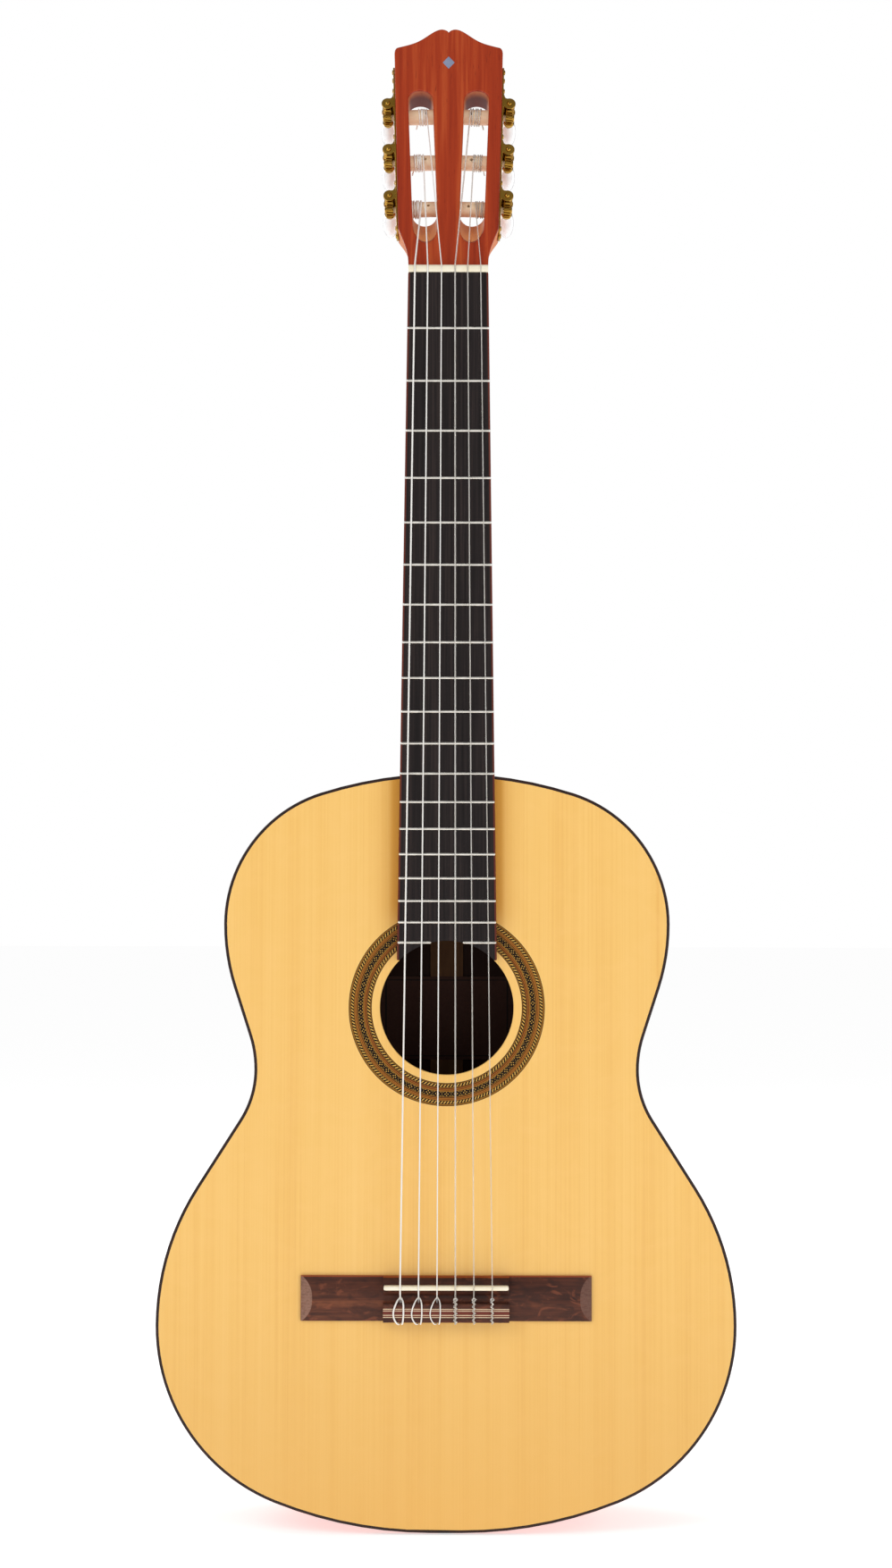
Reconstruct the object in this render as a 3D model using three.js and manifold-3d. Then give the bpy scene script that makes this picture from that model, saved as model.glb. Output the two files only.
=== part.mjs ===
// A classical guitar as an assembly of separate wooden parts, strings and worm-geared tuning machines.
// Millimetres, +Z up along the neck, the soundboard faces -Y, the treble side is +X.
// The origin is the middle of the small flat at the tail end of the body.
// Every piece is drawn in a front view first: x to the right, y up, z towards the player's audience.

import * as THREE from "three";
import { mergeVertices } from "three/addons/utils/BufferGeometryUtils.js";
import Module from "manifold-3d";

const wasm = await Module();
wasm.setup();

// ---- Driving dimensions ----------------------------------------------------------------------------

const GAP = 0.3; // between neighbouring pieces
const FAR = 99; // reaches past the whole body front to back
const SCALE_LENGTH = 650;
const FRET_COUNT = 19;
const NECK_JOINT_FRET = 12;
const NECK_JOINT_Y = 482; // where that fret lies, at the body's upper edge

// The body's right-hand outline, from the flat at the tail to the neck: radius or length, and turn.
const TAIL_FLAT = 10; // half of the flat's width
const BODY_ARCS = [
  { radius: 270, turn: 21.5, steps: 3 }, // tail
  { radius: 120, turn: 68.5, steps: 10 }, // lower bout, up to its widest point
  { radius: 163, turn: 32.5, steps: 4 },
  { length: 50.6 },
  { radius: 59, turn: -32.5, steps: 5 }, // waist
  { radius: 70, turn: -18, steps: 3 },
  { length: 32.7 },
  { radius: 131, turn: 18, steps: 3 }, // upper bout
  { radius: 88.5, turn: 72.3, steps: 10 },
];
const TOP_ARC_STEPS = 3; // the last arc closes on the centre line, so its radius follows

const TOP_Z = 49; // the soundboard's outer face
const BACK_Z = -49; // the back's edge at the tail
const BACK_TAPER = 6; // the body is this much thinner at the neck
const BACK_ARCH_LENGTHWAYS = 2.5;
const BACK_ARCH_RADIUS = 5200; // across the body
const PLATE_THICKNESS = 2.6;
const SIDE_THICKNESS = 2;
const BINDING_HEIGHT = 5;
const LINING = { width: 6.5, height: 14 };
const PLATE_RINGS = 3;
const END_GRAFT_HALF_WIDTH = 4; // the strip over the joint of the two sides at the tail

const HOLE = { radius: 42.8, y: 332.2, steps: 32 };
const ROSETTE = { inner: 48.1, outer: 62.8, depth: 0.8 };

const HEEL_BLOCK = { halfWidth: 34, length: 46 };
const TAIL_BLOCK = { halfWidth: 38, length: 18 };
const BAR = { thickness: 7, height: 16, fromHole: 20 };
const FAN = { count: 7, spread: 8, pitch: 24, length: 170, width: 5, height: 5 };
const BRIDGE_PATCH = { halfWidth: 84, height: 3, length: 34 };
const BACK_BRACES = { y: [112, 262, 388], thickness: 8, height: 15 };
const BACK_STRIP = { halfWidth: 11, height: 2.2 };

const FRETBOARD = { nutWidth: 52, endWidth: 63.8, thickness: 6.9, length: 444.5 };
const FRET = { height: 1, width: 2.2, inset: 0.6 };
const NUT = { thickness: 5, top: 57.6 };

const NECK = { depthAtNut: 15.5, depthAtHeel: 18, heelLength: 64, capHalfWidth: 12, capLength: 26 };
const HEEL_CAP_THICKNESS = 2.2;

const HEAD = {
  tilt: 15.2,
  faceZ: 51, // height of the face's plane over the nut's front edge
  thickness: 20,
  veneer: 1.7,
  length: 185.4,
  start: 5.6,
  shoulderEnd: 34,
  shoulderHalfWidth: 32.8,
  cornerY: 170,
  cornerHalfWidth: 36.3,
  shoulderSlope: 0.47, // how far the shoulders' underside runs up, as a share of their length
};
const SLOT = {
  low: 22.8,
  high: 138.2,
  halfWidth: 8.25,
  centreAtLow: 14.6,
  centreAtHigh: 18.9,
  lowRound: 13, // how far its rounded ends reach along the head
  highRound: 7,
  ramp: 20, // how far the floor at the nut's end slopes through the head
};

const ROLLER = {
  y: [54, 89, 124],
  depth: 11.5,
  radius: 5,
  bore: 5.4,
  core: 2,
  seat: 5, // how far it reaches into the middle bar
  stringX: [17.8, 16.6, 14.6],
};
const TUNER_PLATE = { low: 32.4, high: 161, width: 15, thickness: 1.2 };
const GEAR = { teeth: 14, pitchRadius: 4.75, outer: 5.4, root: 3.9, thickness: 4.4 };
const WORM = { pitchRadius: 3, root: 2.15, crest: 3.5, journal: 1.7, length: 8, sides: 10 };
const THREAD_FLANK = [0.1, 0.24]; // where the crest and the root start, as shares of the lead
const WORM_LEAD = (2 * Math.PI * GEAR.pitchRadius) / GEAR.teeth;
const WORM_OFFSET = GEAR.pitchRadius + WORM.pitchRadius; // between the two axes
const WORM_OUT = 5.3; // from the side of the head to the worm's axis
const LUG = { radius: 4.05, bore: 2.05, thickness: 1.5, fromCentre: 4.3 };
const WORM_SHAFT = { radius: 2.4, ferrule: 3.4, ferruleStart: 27.5, end: 31 };
const BUTTON = { halfThickness: 4.3, halfWidth: 9.3, length: 20 };

const BRIDGE = {
  width: 185,
  low: 133.6, // edge towards the tail
  high: 162.2, // edge towards the hole
  blockHalfWidth: 40,
  blockHigh: 145.7,
  blockHeight: 9.6,
  ledge: 5,
  height: 8,
  wingHeight: 4.2,
};
const SADDLE = { halfWidth: 39.5, thickness: 2.8, y: 155.7, top: 62, bed: 2.5 };

// The strings from the bass side: x at the nut and at the saddle, radius, side and roller index.
const STRINGS = [
  { nut: -21.6, saddle: -29.1, radius: 0.55, roller: 0 },
  { nut: -13.3, saddle: -17.5, radius: 0.45, roller: 1 },
  { nut: -4.4, saddle: -5.8, radius: 0.38, roller: 2 },
  { nut: 4.4, saddle: 5.8, radius: 0.5, roller: 2 },
  { nut: 12.6, saddle: 17.5, radius: 0.4, roller: 1 },
  { nut: 21, saddle: 29.1, radius: 0.35, roller: 0 },
];
const STRING_SIDES = 8;
const STRING_HOLE = { z: 54, radius: 1, sides: 6 };

// ---- Materials -------------------------------------------------------------------------------------

const matte = (color, roughness = 0.5, metalness = 0) =>
  new THREE.MeshStandardMaterial({ color, roughness, metalness });

const SPRUCE = matte("#f7c676", 0.35);
const RAW_SPRUCE = matte("#e0c490", 0.7);
const MAHOGANY = matte("#a03014", 0.35);
const RAW_MAHOGANY = matte("#b06a48", 0.7);
const ROSEWOOD = matte("#543124", 0.5);
const FRETBOARD_WOOD = matte("#2c2626", 0.55);
const BINDING = matte("#2a1410", 0.4);
const MOSAIC = matte("#6e3b20", 0.4);
const BONE = matte("#ece5cc", 0.4);
const IVORY_PLASTIC = matte("#e8dcb8", 0.4);
const PEARL = matte("#e9e2e2", 0.25);
const GOLD = matte("#c79a3a", 0.25, 1);
const NYLON = matte("#dcdcd8", 0.3);
const SILVER_WOUND = matte("#c8c8c8", 0.35, 0.8);

// ---- Solids ----------------------------------------------------------------------------------------

// A closed geometry as a solid, turned the right way out.
function solidOf(geometry) {
  const bare = new THREE.BufferGeometry();
  bare.setAttribute("position", geometry.getAttribute("position").clone());
  if (geometry.index) bare.setIndex(geometry.index.clone());
  const merged = mergeVertices(bare, 1e-4);
  const corners = merged.index.array;
  const triangles = [];
  for (let i = 0; i < corners.length; i += 3) {
    const [a, b, c] = [corners[i], corners[i + 1], corners[i + 2]];
    if (a !== b && b !== c && c !== a) triangles.push(a, b, c);
  }
  const made = (triVerts) =>
    new wasm.Manifold(
      new wasm.Mesh({
        numProp: 3,
        vertProperties: merged.attributes.position.array,
        triVerts: new Uint32Array(triVerts),
      }),
    );
  const solid = made(triangles);
  return solid.volume() > 0 ? solid : made(triangles.reverse());
}

function geometryOf(solid) {
  const mesh = solid.getMesh();
  const geometry = new THREE.BufferGeometry();
  geometry.setAttribute("position", new THREE.BufferAttribute(mesh.vertProperties, 3));
  geometry.setIndex(new THREE.BufferAttribute(mesh.triVerts, 1));
  geometry.computeVertexNormals();
  return geometry;
}

function meshOf(name, shape, material) {
  const solid = shape.isBufferGeometry ? solidOf(shape) : shape;
  const mesh = new THREE.Mesh(geometryOf(solid), material);
  mesh.name = name;
  return mesh;
}

const unite = (solids) => solids.reduce((sum, solid) => sum.add(solid));

// Moves each vertex of a geometry; shift gets (x, y, z) and returns the new place.
function warp(geometry, shift) {
  const position = geometry.getAttribute("position");
  for (let i = 0; i < position.count; i++) {
    position.setXYZ(i, ...shift(position.getX(i), position.getY(i), position.getZ(i)));
  }
  return geometry;
}

// A section run from z = 0 to z = 1 in equal steps.
const extruded = (section, steps, curveSegments) =>
  new THREE.ExtrudeGeometry(section, { depth: 1, steps, bevelEnabled: false, curveSegments });

// A shape in the front view as a plate between two surfaces, each given as z or as a function of x, y.
function plateBetween(shape, low, high, curveSegments = 12) {
  const at = (surface, x, y) => (typeof surface === "function" ? surface(x, y) : surface);
  return warp(extruded(shape, 1, curveSegments), (x, y, z) => [x, y, at(z < 0.5 ? low : high, x, y)]);
}

function boxBetween(x0, x1, y0, y1, z0, z1) {
  const box = new THREE.BoxGeometry(x1 - x0, y1 - y0, z1 - z0);
  return box.translate((x0 + x1) / 2, (y0 + y1) / 2, (z0 + z1) / 2);
}

// A turned piece on the x axis, from [x, radius] steps.
function turned(profile, sides) {
  const points = [
    new THREE.Vector2(0, profile[0][0]),
    ...profile.map(([x, radius]) => new THREE.Vector2(radius, x)),
    new THREE.Vector2(0, profile.at(-1)[0]),
  ];
  return new THREE.LatheGeometry(points, sides).rotateZ(-Math.PI / 2);
}

const radians = THREE.MathUtils.degToRad;
const shapeOf = (points) => new THREE.Shape(points.map(([x, y]) => new THREE.Vector2(x, y)));
const circlePath = (x, y, radius) => new THREE.Path().absarc(x, y, radius, 0, 2 * Math.PI);

// ---- Body outline ----------------------------------------------------------------------------------

// The right half of the body's outline as {x, y, heading}, from the tail up to the centre line.
function bodyWalk() {
  let [x, y, heading] = [TAIL_FLAT, 0, 0];
  const walk = [{ x, y, heading }];
  const advance = (chord, turn) => {
    x += chord * Math.cos(heading + turn / 2);
    y += chord * Math.sin(heading + turn / 2);
    heading += turn;
    walk.push({ x, y, heading });
  };
  const bend = (radius, turn, steps) => {
    const step = turn / steps;
    for (let i = 0; i < steps; i++) advance(2 * radius * Math.sin(Math.abs(step) / 2), step);
  };
  for (const arc of BODY_ARCS) {
    if (arc.length) advance(arc.length, 0);
    else bend(arc.radius, radians(arc.turn), arc.steps);
  }
  const rest = Math.PI - heading;
  bend(x / Math.sin(rest), rest, TOP_ARC_STEPS);
  return walk;
}

const WALK = bodyWalk();
const BODY_LENGTH = WALK.at(-1).y;

// The right half of the outline, moved inwards by inset.
const halfOutline = (inset) =>
  WALK.map(({ x, y, heading }, i) => {
    const last = i === WALK.length - 1;
    return [last ? 0 : x - inset * Math.sin(heading), y + inset * Math.cos(heading)];
  });

function fullOutline(inset) {
  const right = halfOutline(inset);
  const left = right.slice(0, -1).map(([x, y]) => [-x, y]);
  return [...right, ...left.reverse()];
}

// Half the body's width at a height, moved inwards by inset.
function halfWidthAt(y, inset) {
  const points = halfOutline(inset);
  let widest = 0;
  for (let i = 1; i < points.length; i++) {
    const [[x0, y0], [x1, y1]] = [points[i - 1], points[i]];
    if ((y0 - y) * (y1 - y) > 0 || y0 === y1) continue;
    widest = Math.max(widest, x0 + ((x1 - x0) * (y - y0)) / (y1 - y0));
  }
  return widest;
}

// The back's outer surface: thinner towards the neck, arched both ways.
function backSurface(x, y) {
  const share = y / BODY_LENGTH;
  const arch = 4 * BACK_ARCH_LENGTHWAYS * share * (1 - share);
  return BACK_Z + BACK_TAPER * share - arch + (x * x) / (2 * BACK_ARCH_RADIUS);
}

const aboveBack = (height) => (x, y) => backSurface(x, y) + height;

// ---- Body ------------------------------------------------------------------------------------------

function soundboard() {
  const board = shapeOf(fullOutline(SIDE_THICKNESS + GAP));
  board.holes.push(circlePath(0, HOLE.y, HOLE.radius));
  const plate = solidOf(plateBetween(board, TOP_Z - PLATE_THICKNESS, TOP_Z, HOLE.steps / 2));
  const channelFloor = TOP_Z - ROSETTE.depth - GAP;
  const channel = flatRing(ROSETTE.inner - GAP, ROSETTE.outer + GAP, channelFloor, TOP_Z + 1);
  return plate.subtract(solidOf(channel));
}

// A ring around the sound hole's axis.
function flatRing(inner, outer, low, high) {
  const corners = [[inner, low], [outer, low], [outer, high], [inner, high], [inner, low]];
  const points = corners.map(([radius, z]) => new THREE.Vector2(radius, z));
  return new THREE.LatheGeometry(points, HOLE.steps).rotateX(Math.PI / 2).translate(0, HOLE.y, 0);
}

const rosette = () => flatRing(ROSETTE.inner, ROSETTE.outer, TOP_Z - ROSETTE.depth, TOP_Z);

// The back: rings of the outline, so that the arch has points inside the edge.
function backPlate() {
  const edge = fullOutline(SIDE_THICKNESS + GAP);
  const centreY = BODY_LENGTH / 2;
  const shares = Array.from({ length: PLATE_RINGS + 1 }, (_, i) => i / PLATE_RINGS);
  const rows = [
    ...shares.map((share) => ({ share, height: 0 })),
    ...shares.reverse().map((share) => ({ share, height: PLATE_THICKNESS })),
  ];
  const profile = rows.map(({ share, height }) => new THREE.Vector2(share, height));
  const lathe = new THREE.LatheGeometry(profile, edge.length);
  const position = lathe.getAttribute("position");
  for (let i = 0; i < position.count; i++) {
    const [edgeX, edgeY] = edge[Math.floor(i / rows.length) % edge.length];
    const { share, height } = rows[i % rows.length];
    const [x, y] = [edgeX * share, centreY + (edgeY - centreY) * share];
    position.setXYZ(i, x, y, backSurface(x, y) + height);
  }
  return lathe;
}

// A strip that follows the outline between two insets, as a closed loop.
function loop(outer, inner, low, high) {
  const strip = shapeOf(fullOutline(outer));
  strip.holes.push(shapeOf(fullOutline(inner)));
  return plateBetween(strip, low, high);
}

// Half of such a loop, on the side given by its sign.
function halfLoop(sign, outer, inner, low, high) {
  const half = (inset) => [[0, halfOutline(inset)[0][1]], ...halfOutline(inset)];
  const points = [...half(outer), ...half(inner).reverse()];
  const keepClear = (x) => sign * Math.max(x, GAP / 2);
  return plateBetween(shapeOf(points.map(([x, y]) => [keepClear(x), y])), low, high);
}

const SIDE_LOW = aboveBack(BINDING_HEIGHT + GAP);
const SIDE_HIGH = TOP_Z - BINDING_HEIGHT - GAP;

// A side ends at the graft at the tail, and meets the other side behind the heel.
function side(sign) {
  const clear = END_GRAFT_HALF_WIDTH + GAP;
  const graftRoom = boxBetween(-clear, clear, -1, SIDE_THICKNESS + 1, BACK_Z, TOP_Z);
  return solidOf(halfLoop(sign, 0, SIDE_THICKNESS, SIDE_LOW, SIDE_HIGH)).subtract(solidOf(graftRoom));
}

function endGraft() {
  const half = END_GRAFT_HALF_WIDTH;
  const strip = [[-half, 0], [half, 0], [half, SIDE_THICKNESS], [-half, SIDE_THICKNESS]];
  return plateBetween(shapeOf(strip), SIDE_LOW, SIDE_HIGH);
}

function lining(sign, low, high) {
  const inset = SIDE_THICKNESS + GAP;
  const strip = solidOf(halfLoop(sign, inset, inset + LINING.width, low, high));
  const clearOf = ({ halfWidth }, y0, y1) =>
    solidOf(boxBetween(-halfWidth - GAP, halfWidth + GAP, y0, y1, -FAR, FAR));
  const atHeel = clearOf(HEEL_BLOCK, HOLE.y, BODY_LENGTH + FAR);
  return strip.subtract(atHeel).subtract(clearOf(TAIL_BLOCK, -FAR, HOLE.y));
}

function topLining(sign) {
  const high = TOP_Z - PLATE_THICKNESS - GAP;
  return lining(sign, high - LINING.height, high);
}

function backLining(sign) {
  const low = PLATE_THICKNESS + GAP;
  return lining(sign, aboveBack(low), aboveBack(low + LINING.height));
}

// A block that fills the end of the body between the two plates.
function block({ halfWidth, length }, atTail) {
  const low = aboveBack(PLATE_THICKNESS + 2 * GAP);
  const high = TOP_Z - PLATE_THICKNESS - GAP;
  const inside = solidOf(plateBetween(shapeOf(fullOutline(SIDE_THICKNESS + GAP)), low, high));
  const [y0, y1] = atTail ? [-FAR, length] : [BODY_LENGTH - length, BODY_LENGTH + FAR];
  return inside.intersect(solidOf(boxBetween(-halfWidth, halfWidth, y0, y1, -FAR, FAR)));
}

// A bar across the underside of the soundboard, scooped down at its ends.
function harmonicBar(y) {
  const reach = halfWidthAt(y, SIDE_THICKNESS + LINING.width + 2 * GAP) - BAR.thickness;
  const high = TOP_Z - PLATE_THICKNESS - GAP;
  const depthAt = (x) => BAR.height * (Math.abs(x) > reach - 1 ? 0.35 : 1);
  const bar = new THREE.BoxGeometry(2 * reach, BAR.thickness, 1, 8, 1, 1);
  const widen = (x) => Math.sign(x) * Math.min(reach, Math.abs(x) * 1.12);
  return warp(bar, (x, dy, z) => [widen(x), y + dy, z > 0 ? high : high - depthAt(widen(x))]);
}

// The fan struts under the lower bout, joined by the patch under the bridge.
function fanBraces() {
  const high = TOP_Z - PLATE_THICKNESS - GAP;
  const bridgeY = (BRIDGE.low + BRIDGE.high) / 2;
  const middle = (FAN.count - 1) / 2;
  const struts = Array.from({ length: FAN.count }, (_, i) => {
    const offset = i - middle;
    const length = FAN.length - 7 * offset * offset;
    const strut = new THREE.BoxGeometry(FAN.width, length, FAN.height);
    strut.rotateZ(radians(FAN.spread * offset * 0.75));
    return solidOf(strut.translate(offset * FAN.pitch, bridgeY, high - FAN.height / 2));
  });
  const { halfWidth, height, length } = BRIDGE_PATCH;
  const [y0, y1] = [bridgeY - length / 2, bridgeY + length / 2];
  return unite([...struts, solidOf(boxBetween(-halfWidth, halfWidth, y0, y1, high - height, high))]);
}

function backStrip() {
  const reach = [TAIL_BLOCK.length + 3, BODY_LENGTH - HEEL_BLOCK.length - 3];
  const low = PLATE_THICKNESS + GAP;
  const strip = new THREE.BoxGeometry(2 * BACK_STRIP.halfWidth, reach[1] - reach[0], 1, 2, 12, 1);
  const middle = (reach[0] + reach[1]) / 2;
  const liftAt = (z) => (z > 0 ? low + BACK_STRIP.height : low);
  return warp(strip, (x, dy, z) => [x, middle + dy, backSurface(x, middle + dy) + liftAt(z)]);
}

// A bar across the back, notched over the centre strip.
function backBrace(y) {
  const reach = halfWidthAt(y, SIDE_THICKNESS + LINING.width + 2 * GAP) - BACK_BRACES.thickness;
  const low = PLATE_THICKNESS + GAP;
  const bar = new THREE.BoxGeometry(2 * reach, BACK_BRACES.thickness, 1, 12, 1, 1);
  const topAt = (x) => low + BACK_BRACES.height * (Math.abs(x) > reach - 1 ? 0.3 : 1);
  warp(bar, (x, dy, z) => [x, y + dy, backSurface(x, y + dy) + (z > 0 ? topAt(x) : low)]);
  const clear = BACK_STRIP.halfWidth + GAP;
  const notchTop = backSurface(0, y) + low + BACK_STRIP.height + 2 * GAP;
  return solidOf(bar).subtract(solidOf(boxBetween(-clear, clear, y - 9, y + 9, -FAR, notchTop)));
}

// ---- Neck and head ---------------------------------------------------------------------------------

const fretShare = (number) => 1 - 2 ** (-number / 12); // of the scale, from the nut
const NUT_Y = NECK_JOINT_Y + SCALE_LENGTH * fretShare(NECK_JOINT_FRET); // the nut's front edge
const FRETBOARD_TOP = TOP_Z + GAP + FRETBOARD.thickness;

const halfBoardWidth = (y) =>
  THREE.MathUtils.mapLinear(y, NUT_Y, NUT_Y - FRETBOARD.length, FRETBOARD.nutWidth, FRETBOARD.endWidth) / 2;

// The neck's shaft: a D-shaped section that grows towards the heel.
function neckShaft() {
  const section = new THREE.Shape();
  section.moveTo(1, 0);
  section.bezierCurveTo(1, -0.85, 0.62, -1, 0, -1);
  section.bezierCurveTo(-0.62, -1, -1, -0.85, -1, 0);
  const start = NUT_Y + NUT.thickness;
  const length = start - (BODY_LENGTH - 4);
  return warp(extruded(section, 2, 6), (u, v, along) => {
    const y = start - along * length;
    const depth = THREE.MathUtils.lerp(NECK.depthAtNut, NECK.depthAtHeel, along);
    return [u * halfBoardWidth(y), y, TOP_Z + v * depth];
  });
}

// The heel: level sections that get narrower and shorter from the fretboard down to the cap.
function heel() {
  const section = new THREE.Shape();
  section.moveTo(-1, -0.2);
  section.lineTo(1, -0.2);
  section.bezierCurveTo(1, 0.6, 0.5, 1, 0, 1);
  section.bezierCurveTo(-0.5, 1, -1, 0.6, -1, -0.2);
  const bottom = backSurface(0, BODY_LENGTH) + HEEL_CAP_THICKNESS + GAP;
  return warp(extruded(section, 8, 5), (u, v, share) => {
    const rise = share * share;
    const widest = halfBoardWidth(BODY_LENGTH) - 1;
    const halfWidth = THREE.MathUtils.lerp(NECK.capHalfWidth, widest, share ** 0.8);
    const length = THREE.MathUtils.lerp(NECK.capLength, NECK.heelLength, rise * rise);
    return [u * halfWidth, BODY_LENGTH + v * length, THREE.MathUtils.lerp(bottom, TOP_Z - 6, share)];
  });
}

// Places a geometry drawn on the head's face, y along it from the nut and z out of it.
function ontoHead(geometry) {
  return geometry.rotateX(-radians(HEAD.tilt)).translate(0, NUT_Y, HEAD.faceZ);
}

// The head's face: concave shoulders, straight cheeks, rounded corners and a shallow centre notch.
function headOutline() {
  const { start, shoulderEnd, length, shoulderHalfWidth: shoulder, cornerHalfWidth: corner } = HEAD;
  const right = new THREE.Path();
  right.moveTo(FRETBOARD.nutWidth / 2, start);
  right.bezierCurveTo(FRETBOARD.nutWidth / 2, 18, 29, 23, shoulder, shoulderEnd);
  right.lineTo(corner, HEAD.cornerY - 4);
  right.bezierCurveTo(corner, HEAD.cornerY - 0.6, 35.4, 171, 33.5, 171.3);
  right.bezierCurveTo(28, 172.8, 22.5, 174.4, 19, 176.8);
  right.bezierCurveTo(14.6, 179.4, 9.6, length - 0.5, 5, length);
  right.quadraticCurveTo(2.4, length, 0, length - 2.2);
  const points = right.getPoints(8);
  const left = points.slice(0, -1).reverse();
  return shapeOf([...points, ...left.map((point) => ({ x: -point.x, y: point.y }))].map((p) => [p.x, p.y]));
}

// Under the face the shoulders run up the head, so that its underside slopes.
function underShoulder(x, y, z) {
  const above = Math.max(HEAD.shoulderEnd - y, 0);
  return [x, y - (above * HEAD.shoulderSlope * z) / HEAD.thickness, z];
}

const slotCentre = (y) =>
  THREE.MathUtils.mapLinear(y, SLOT.low, SLOT.high, SLOT.centreAtLow, SLOT.centreAtHigh);

// Half of an ellipse at a slot's end; reach is negative at the end towards the nut.
function slotEnd(y, reach) {
  const steps = 6;
  return Array.from({ length: steps + 1 }, (_, i) => {
    const angle = (Math.PI * i) / steps;
    const across = Math.sign(reach) * SLOT.halfWidth * Math.cos(angle);
    return [across, y + reach * Math.sin(angle)];
  });
}

// A string slot as a cutter through the head, with a sloping floor at the nut's end.
function slotCutter(sign) {
  const spare = 5; // beyond both faces
  const lowEnd = slotEnd(SLOT.low + SLOT.lowRound, -SLOT.lowRound);
  const highEnd = slotEnd(SLOT.high - SLOT.highRound, SLOT.highRound);
  const placed = [...lowEnd, ...highEnd].map(([x, y]) => [sign * (slotCentre(y) + x), y]);
  const cutter = plateBetween(shapeOf(placed), -HEAD.thickness - spare, spare);
  const isLow = (y) => y < SLOT.low + SLOT.lowRound + 1;
  const slope = SLOT.ramp / HEAD.thickness;
  return solidOf(ontoHead(warp(cutter, (x, y, z) => [x, isLow(y) ? y - slope * z : y, z])));
}

// The bores for the rollers: through the cheek and a short way into the middle bar.
function rollerBores() {
  const outside = 6;
  return tuners().map((tuner) => {
    const bore = turned([[rollerEnd(tuner) - GAP, ROLLER.bore], [outside, ROLLER.bore]], 12);
    return solidOf(bore.applyMatrix4(tuner.frame));
  });
}

function head() {
  const slab = plateBetween(headOutline(), -HEAD.thickness, -HEAD.veneer - GAP);
  return solidOf(ontoHead(warp(slab, underShoulder)));
}

// The wedge that carries the shaft's round back into the flat back of the head.
function throat() {
  const section = new THREE.Shape();
  section.moveTo(1, 0);
  section.bezierCurveTo(1, -0.8, 0.75, -1, 0, -1);
  section.bezierCurveTo(-0.75, -1, -1, -0.8, -1, 0);
  const [low, high] = [NUT_Y - 22, NUT_Y + 18];
  const tilt = radians(HEAD.tilt);
  const faceAt = (y) => HEAD.faceZ - (y - NUT_Y) * Math.tan(tilt);
  const backAt = (y) => faceAt(y) - HEAD.thickness / Math.cos(tilt);
  return warp(extruded(section, 5, 6), (u, v, along) => {
    const y = THREE.MathUtils.lerp(low, high, along);
    const ease = along * along * (3 - 2 * along);
    const bottom = THREE.MathUtils.lerp(TOP_Z - NECK.depthAtNut, backAt(y), ease);
    const top = Math.min(TOP_Z, faceAt(y) - 4);
    return [u * (halfBoardWidth(NUT_Y) - 0.2), y, top + v * (top - bottom)];
  });
}

function neck() {
  const whole = unite([solidOf(neckShaft()), solidOf(heel()), solidOf(throat()), head()]);
  const body = solidOf(plateBetween(shapeOf(fullOutline(-GAP)), -FAR, FAR));
  const cutters = [body, slotCutter(1), slotCutter(-1), ...rollerBores()];
  return cutters.reduce((solid, cutter) => solid.subtract(cutter), whole);
}

function headVeneer() {
  const sheet = solidOf(ontoHead(warp(plateBetween(headOutline(), -HEAD.veneer, 0), underShoulder)));
  const nutSide = boxBetween(-40, 40, NUT_Y - 20, NUT_Y + NUT.thickness + GAP, 20, 80);
  return sheet.subtract(slotCutter(1)).subtract(slotCutter(-1)).subtract(solidOf(nutSide));
}

function heelCap() {
  const cap = new THREE.Shape();
  cap.moveTo(-NECK.capHalfWidth, -3);
  cap.lineTo(NECK.capHalfWidth, -3);
  cap.bezierCurveTo(NECK.capHalfWidth, 15, 6, NECK.capLength, 0, NECK.capLength);
  cap.bezierCurveTo(-6, NECK.capLength, -NECK.capHalfWidth, 15, -NECK.capHalfWidth, -3);
  const low = backSurface(0, BODY_LENGTH);
  const plate = plateBetween(cap, low, low + HEEL_CAP_THICKNESS).translate(0, BODY_LENGTH, 0);
  const body = solidOf(plateBetween(shapeOf(fullOutline(-GAP)), -FAR, FAR));
  return solidOf(plate).subtract(body);
}

// ---- Fretboard, nut, bridge ------------------------------------------------------------------------

const fretY = (number) => NUT_Y - SCALE_LENGTH * fretShare(number);

// The board with its frets pressed in, cut out in an arc around the sound hole.
function fretboard() {
  const [top, low] = [NUT_Y - GAP / 2, NUT_Y - FRETBOARD.length];
  const taper = [[-halfBoardWidth(low), low], [halfBoardWidth(low), low]];
  const outline = [...taper, [halfBoardWidth(top), top], [-halfBoardWidth(top), top]];
  const board = solidOf(plateBetween(shapeOf(outline), TOP_Z + GAP, FRETBOARD_TOP));
  const frets = Array.from({ length: FRET_COUNT }, (_, i) => {
    const y = fretY(i + 1);
    const half = halfBoardWidth(y) - FRET.inset;
    const [z0, z1] = [FRETBOARD_TOP - 1, FRETBOARD_TOP + FRET.height];
    return solidOf(boxBetween(-half, half, y - FRET.width / 2, y + FRET.width / 2, z0, z1));
  });
  const arc = new THREE.CylinderGeometry(HOLE.radius, HOLE.radius, 40, HOLE.steps).rotateX(Math.PI / 2);
  return unite([board, ...frets]).subtract(solidOf(arc.translate(0, HOLE.y, TOP_Z)));
}

function nut() {
  const half = FRETBOARD.nutWidth / 2 - 0.2;
  return boxBetween(-half, half, NUT_Y + GAP / 2, NUT_Y + NUT.thickness, TOP_Z + GAP, NUT.top);
}

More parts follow.
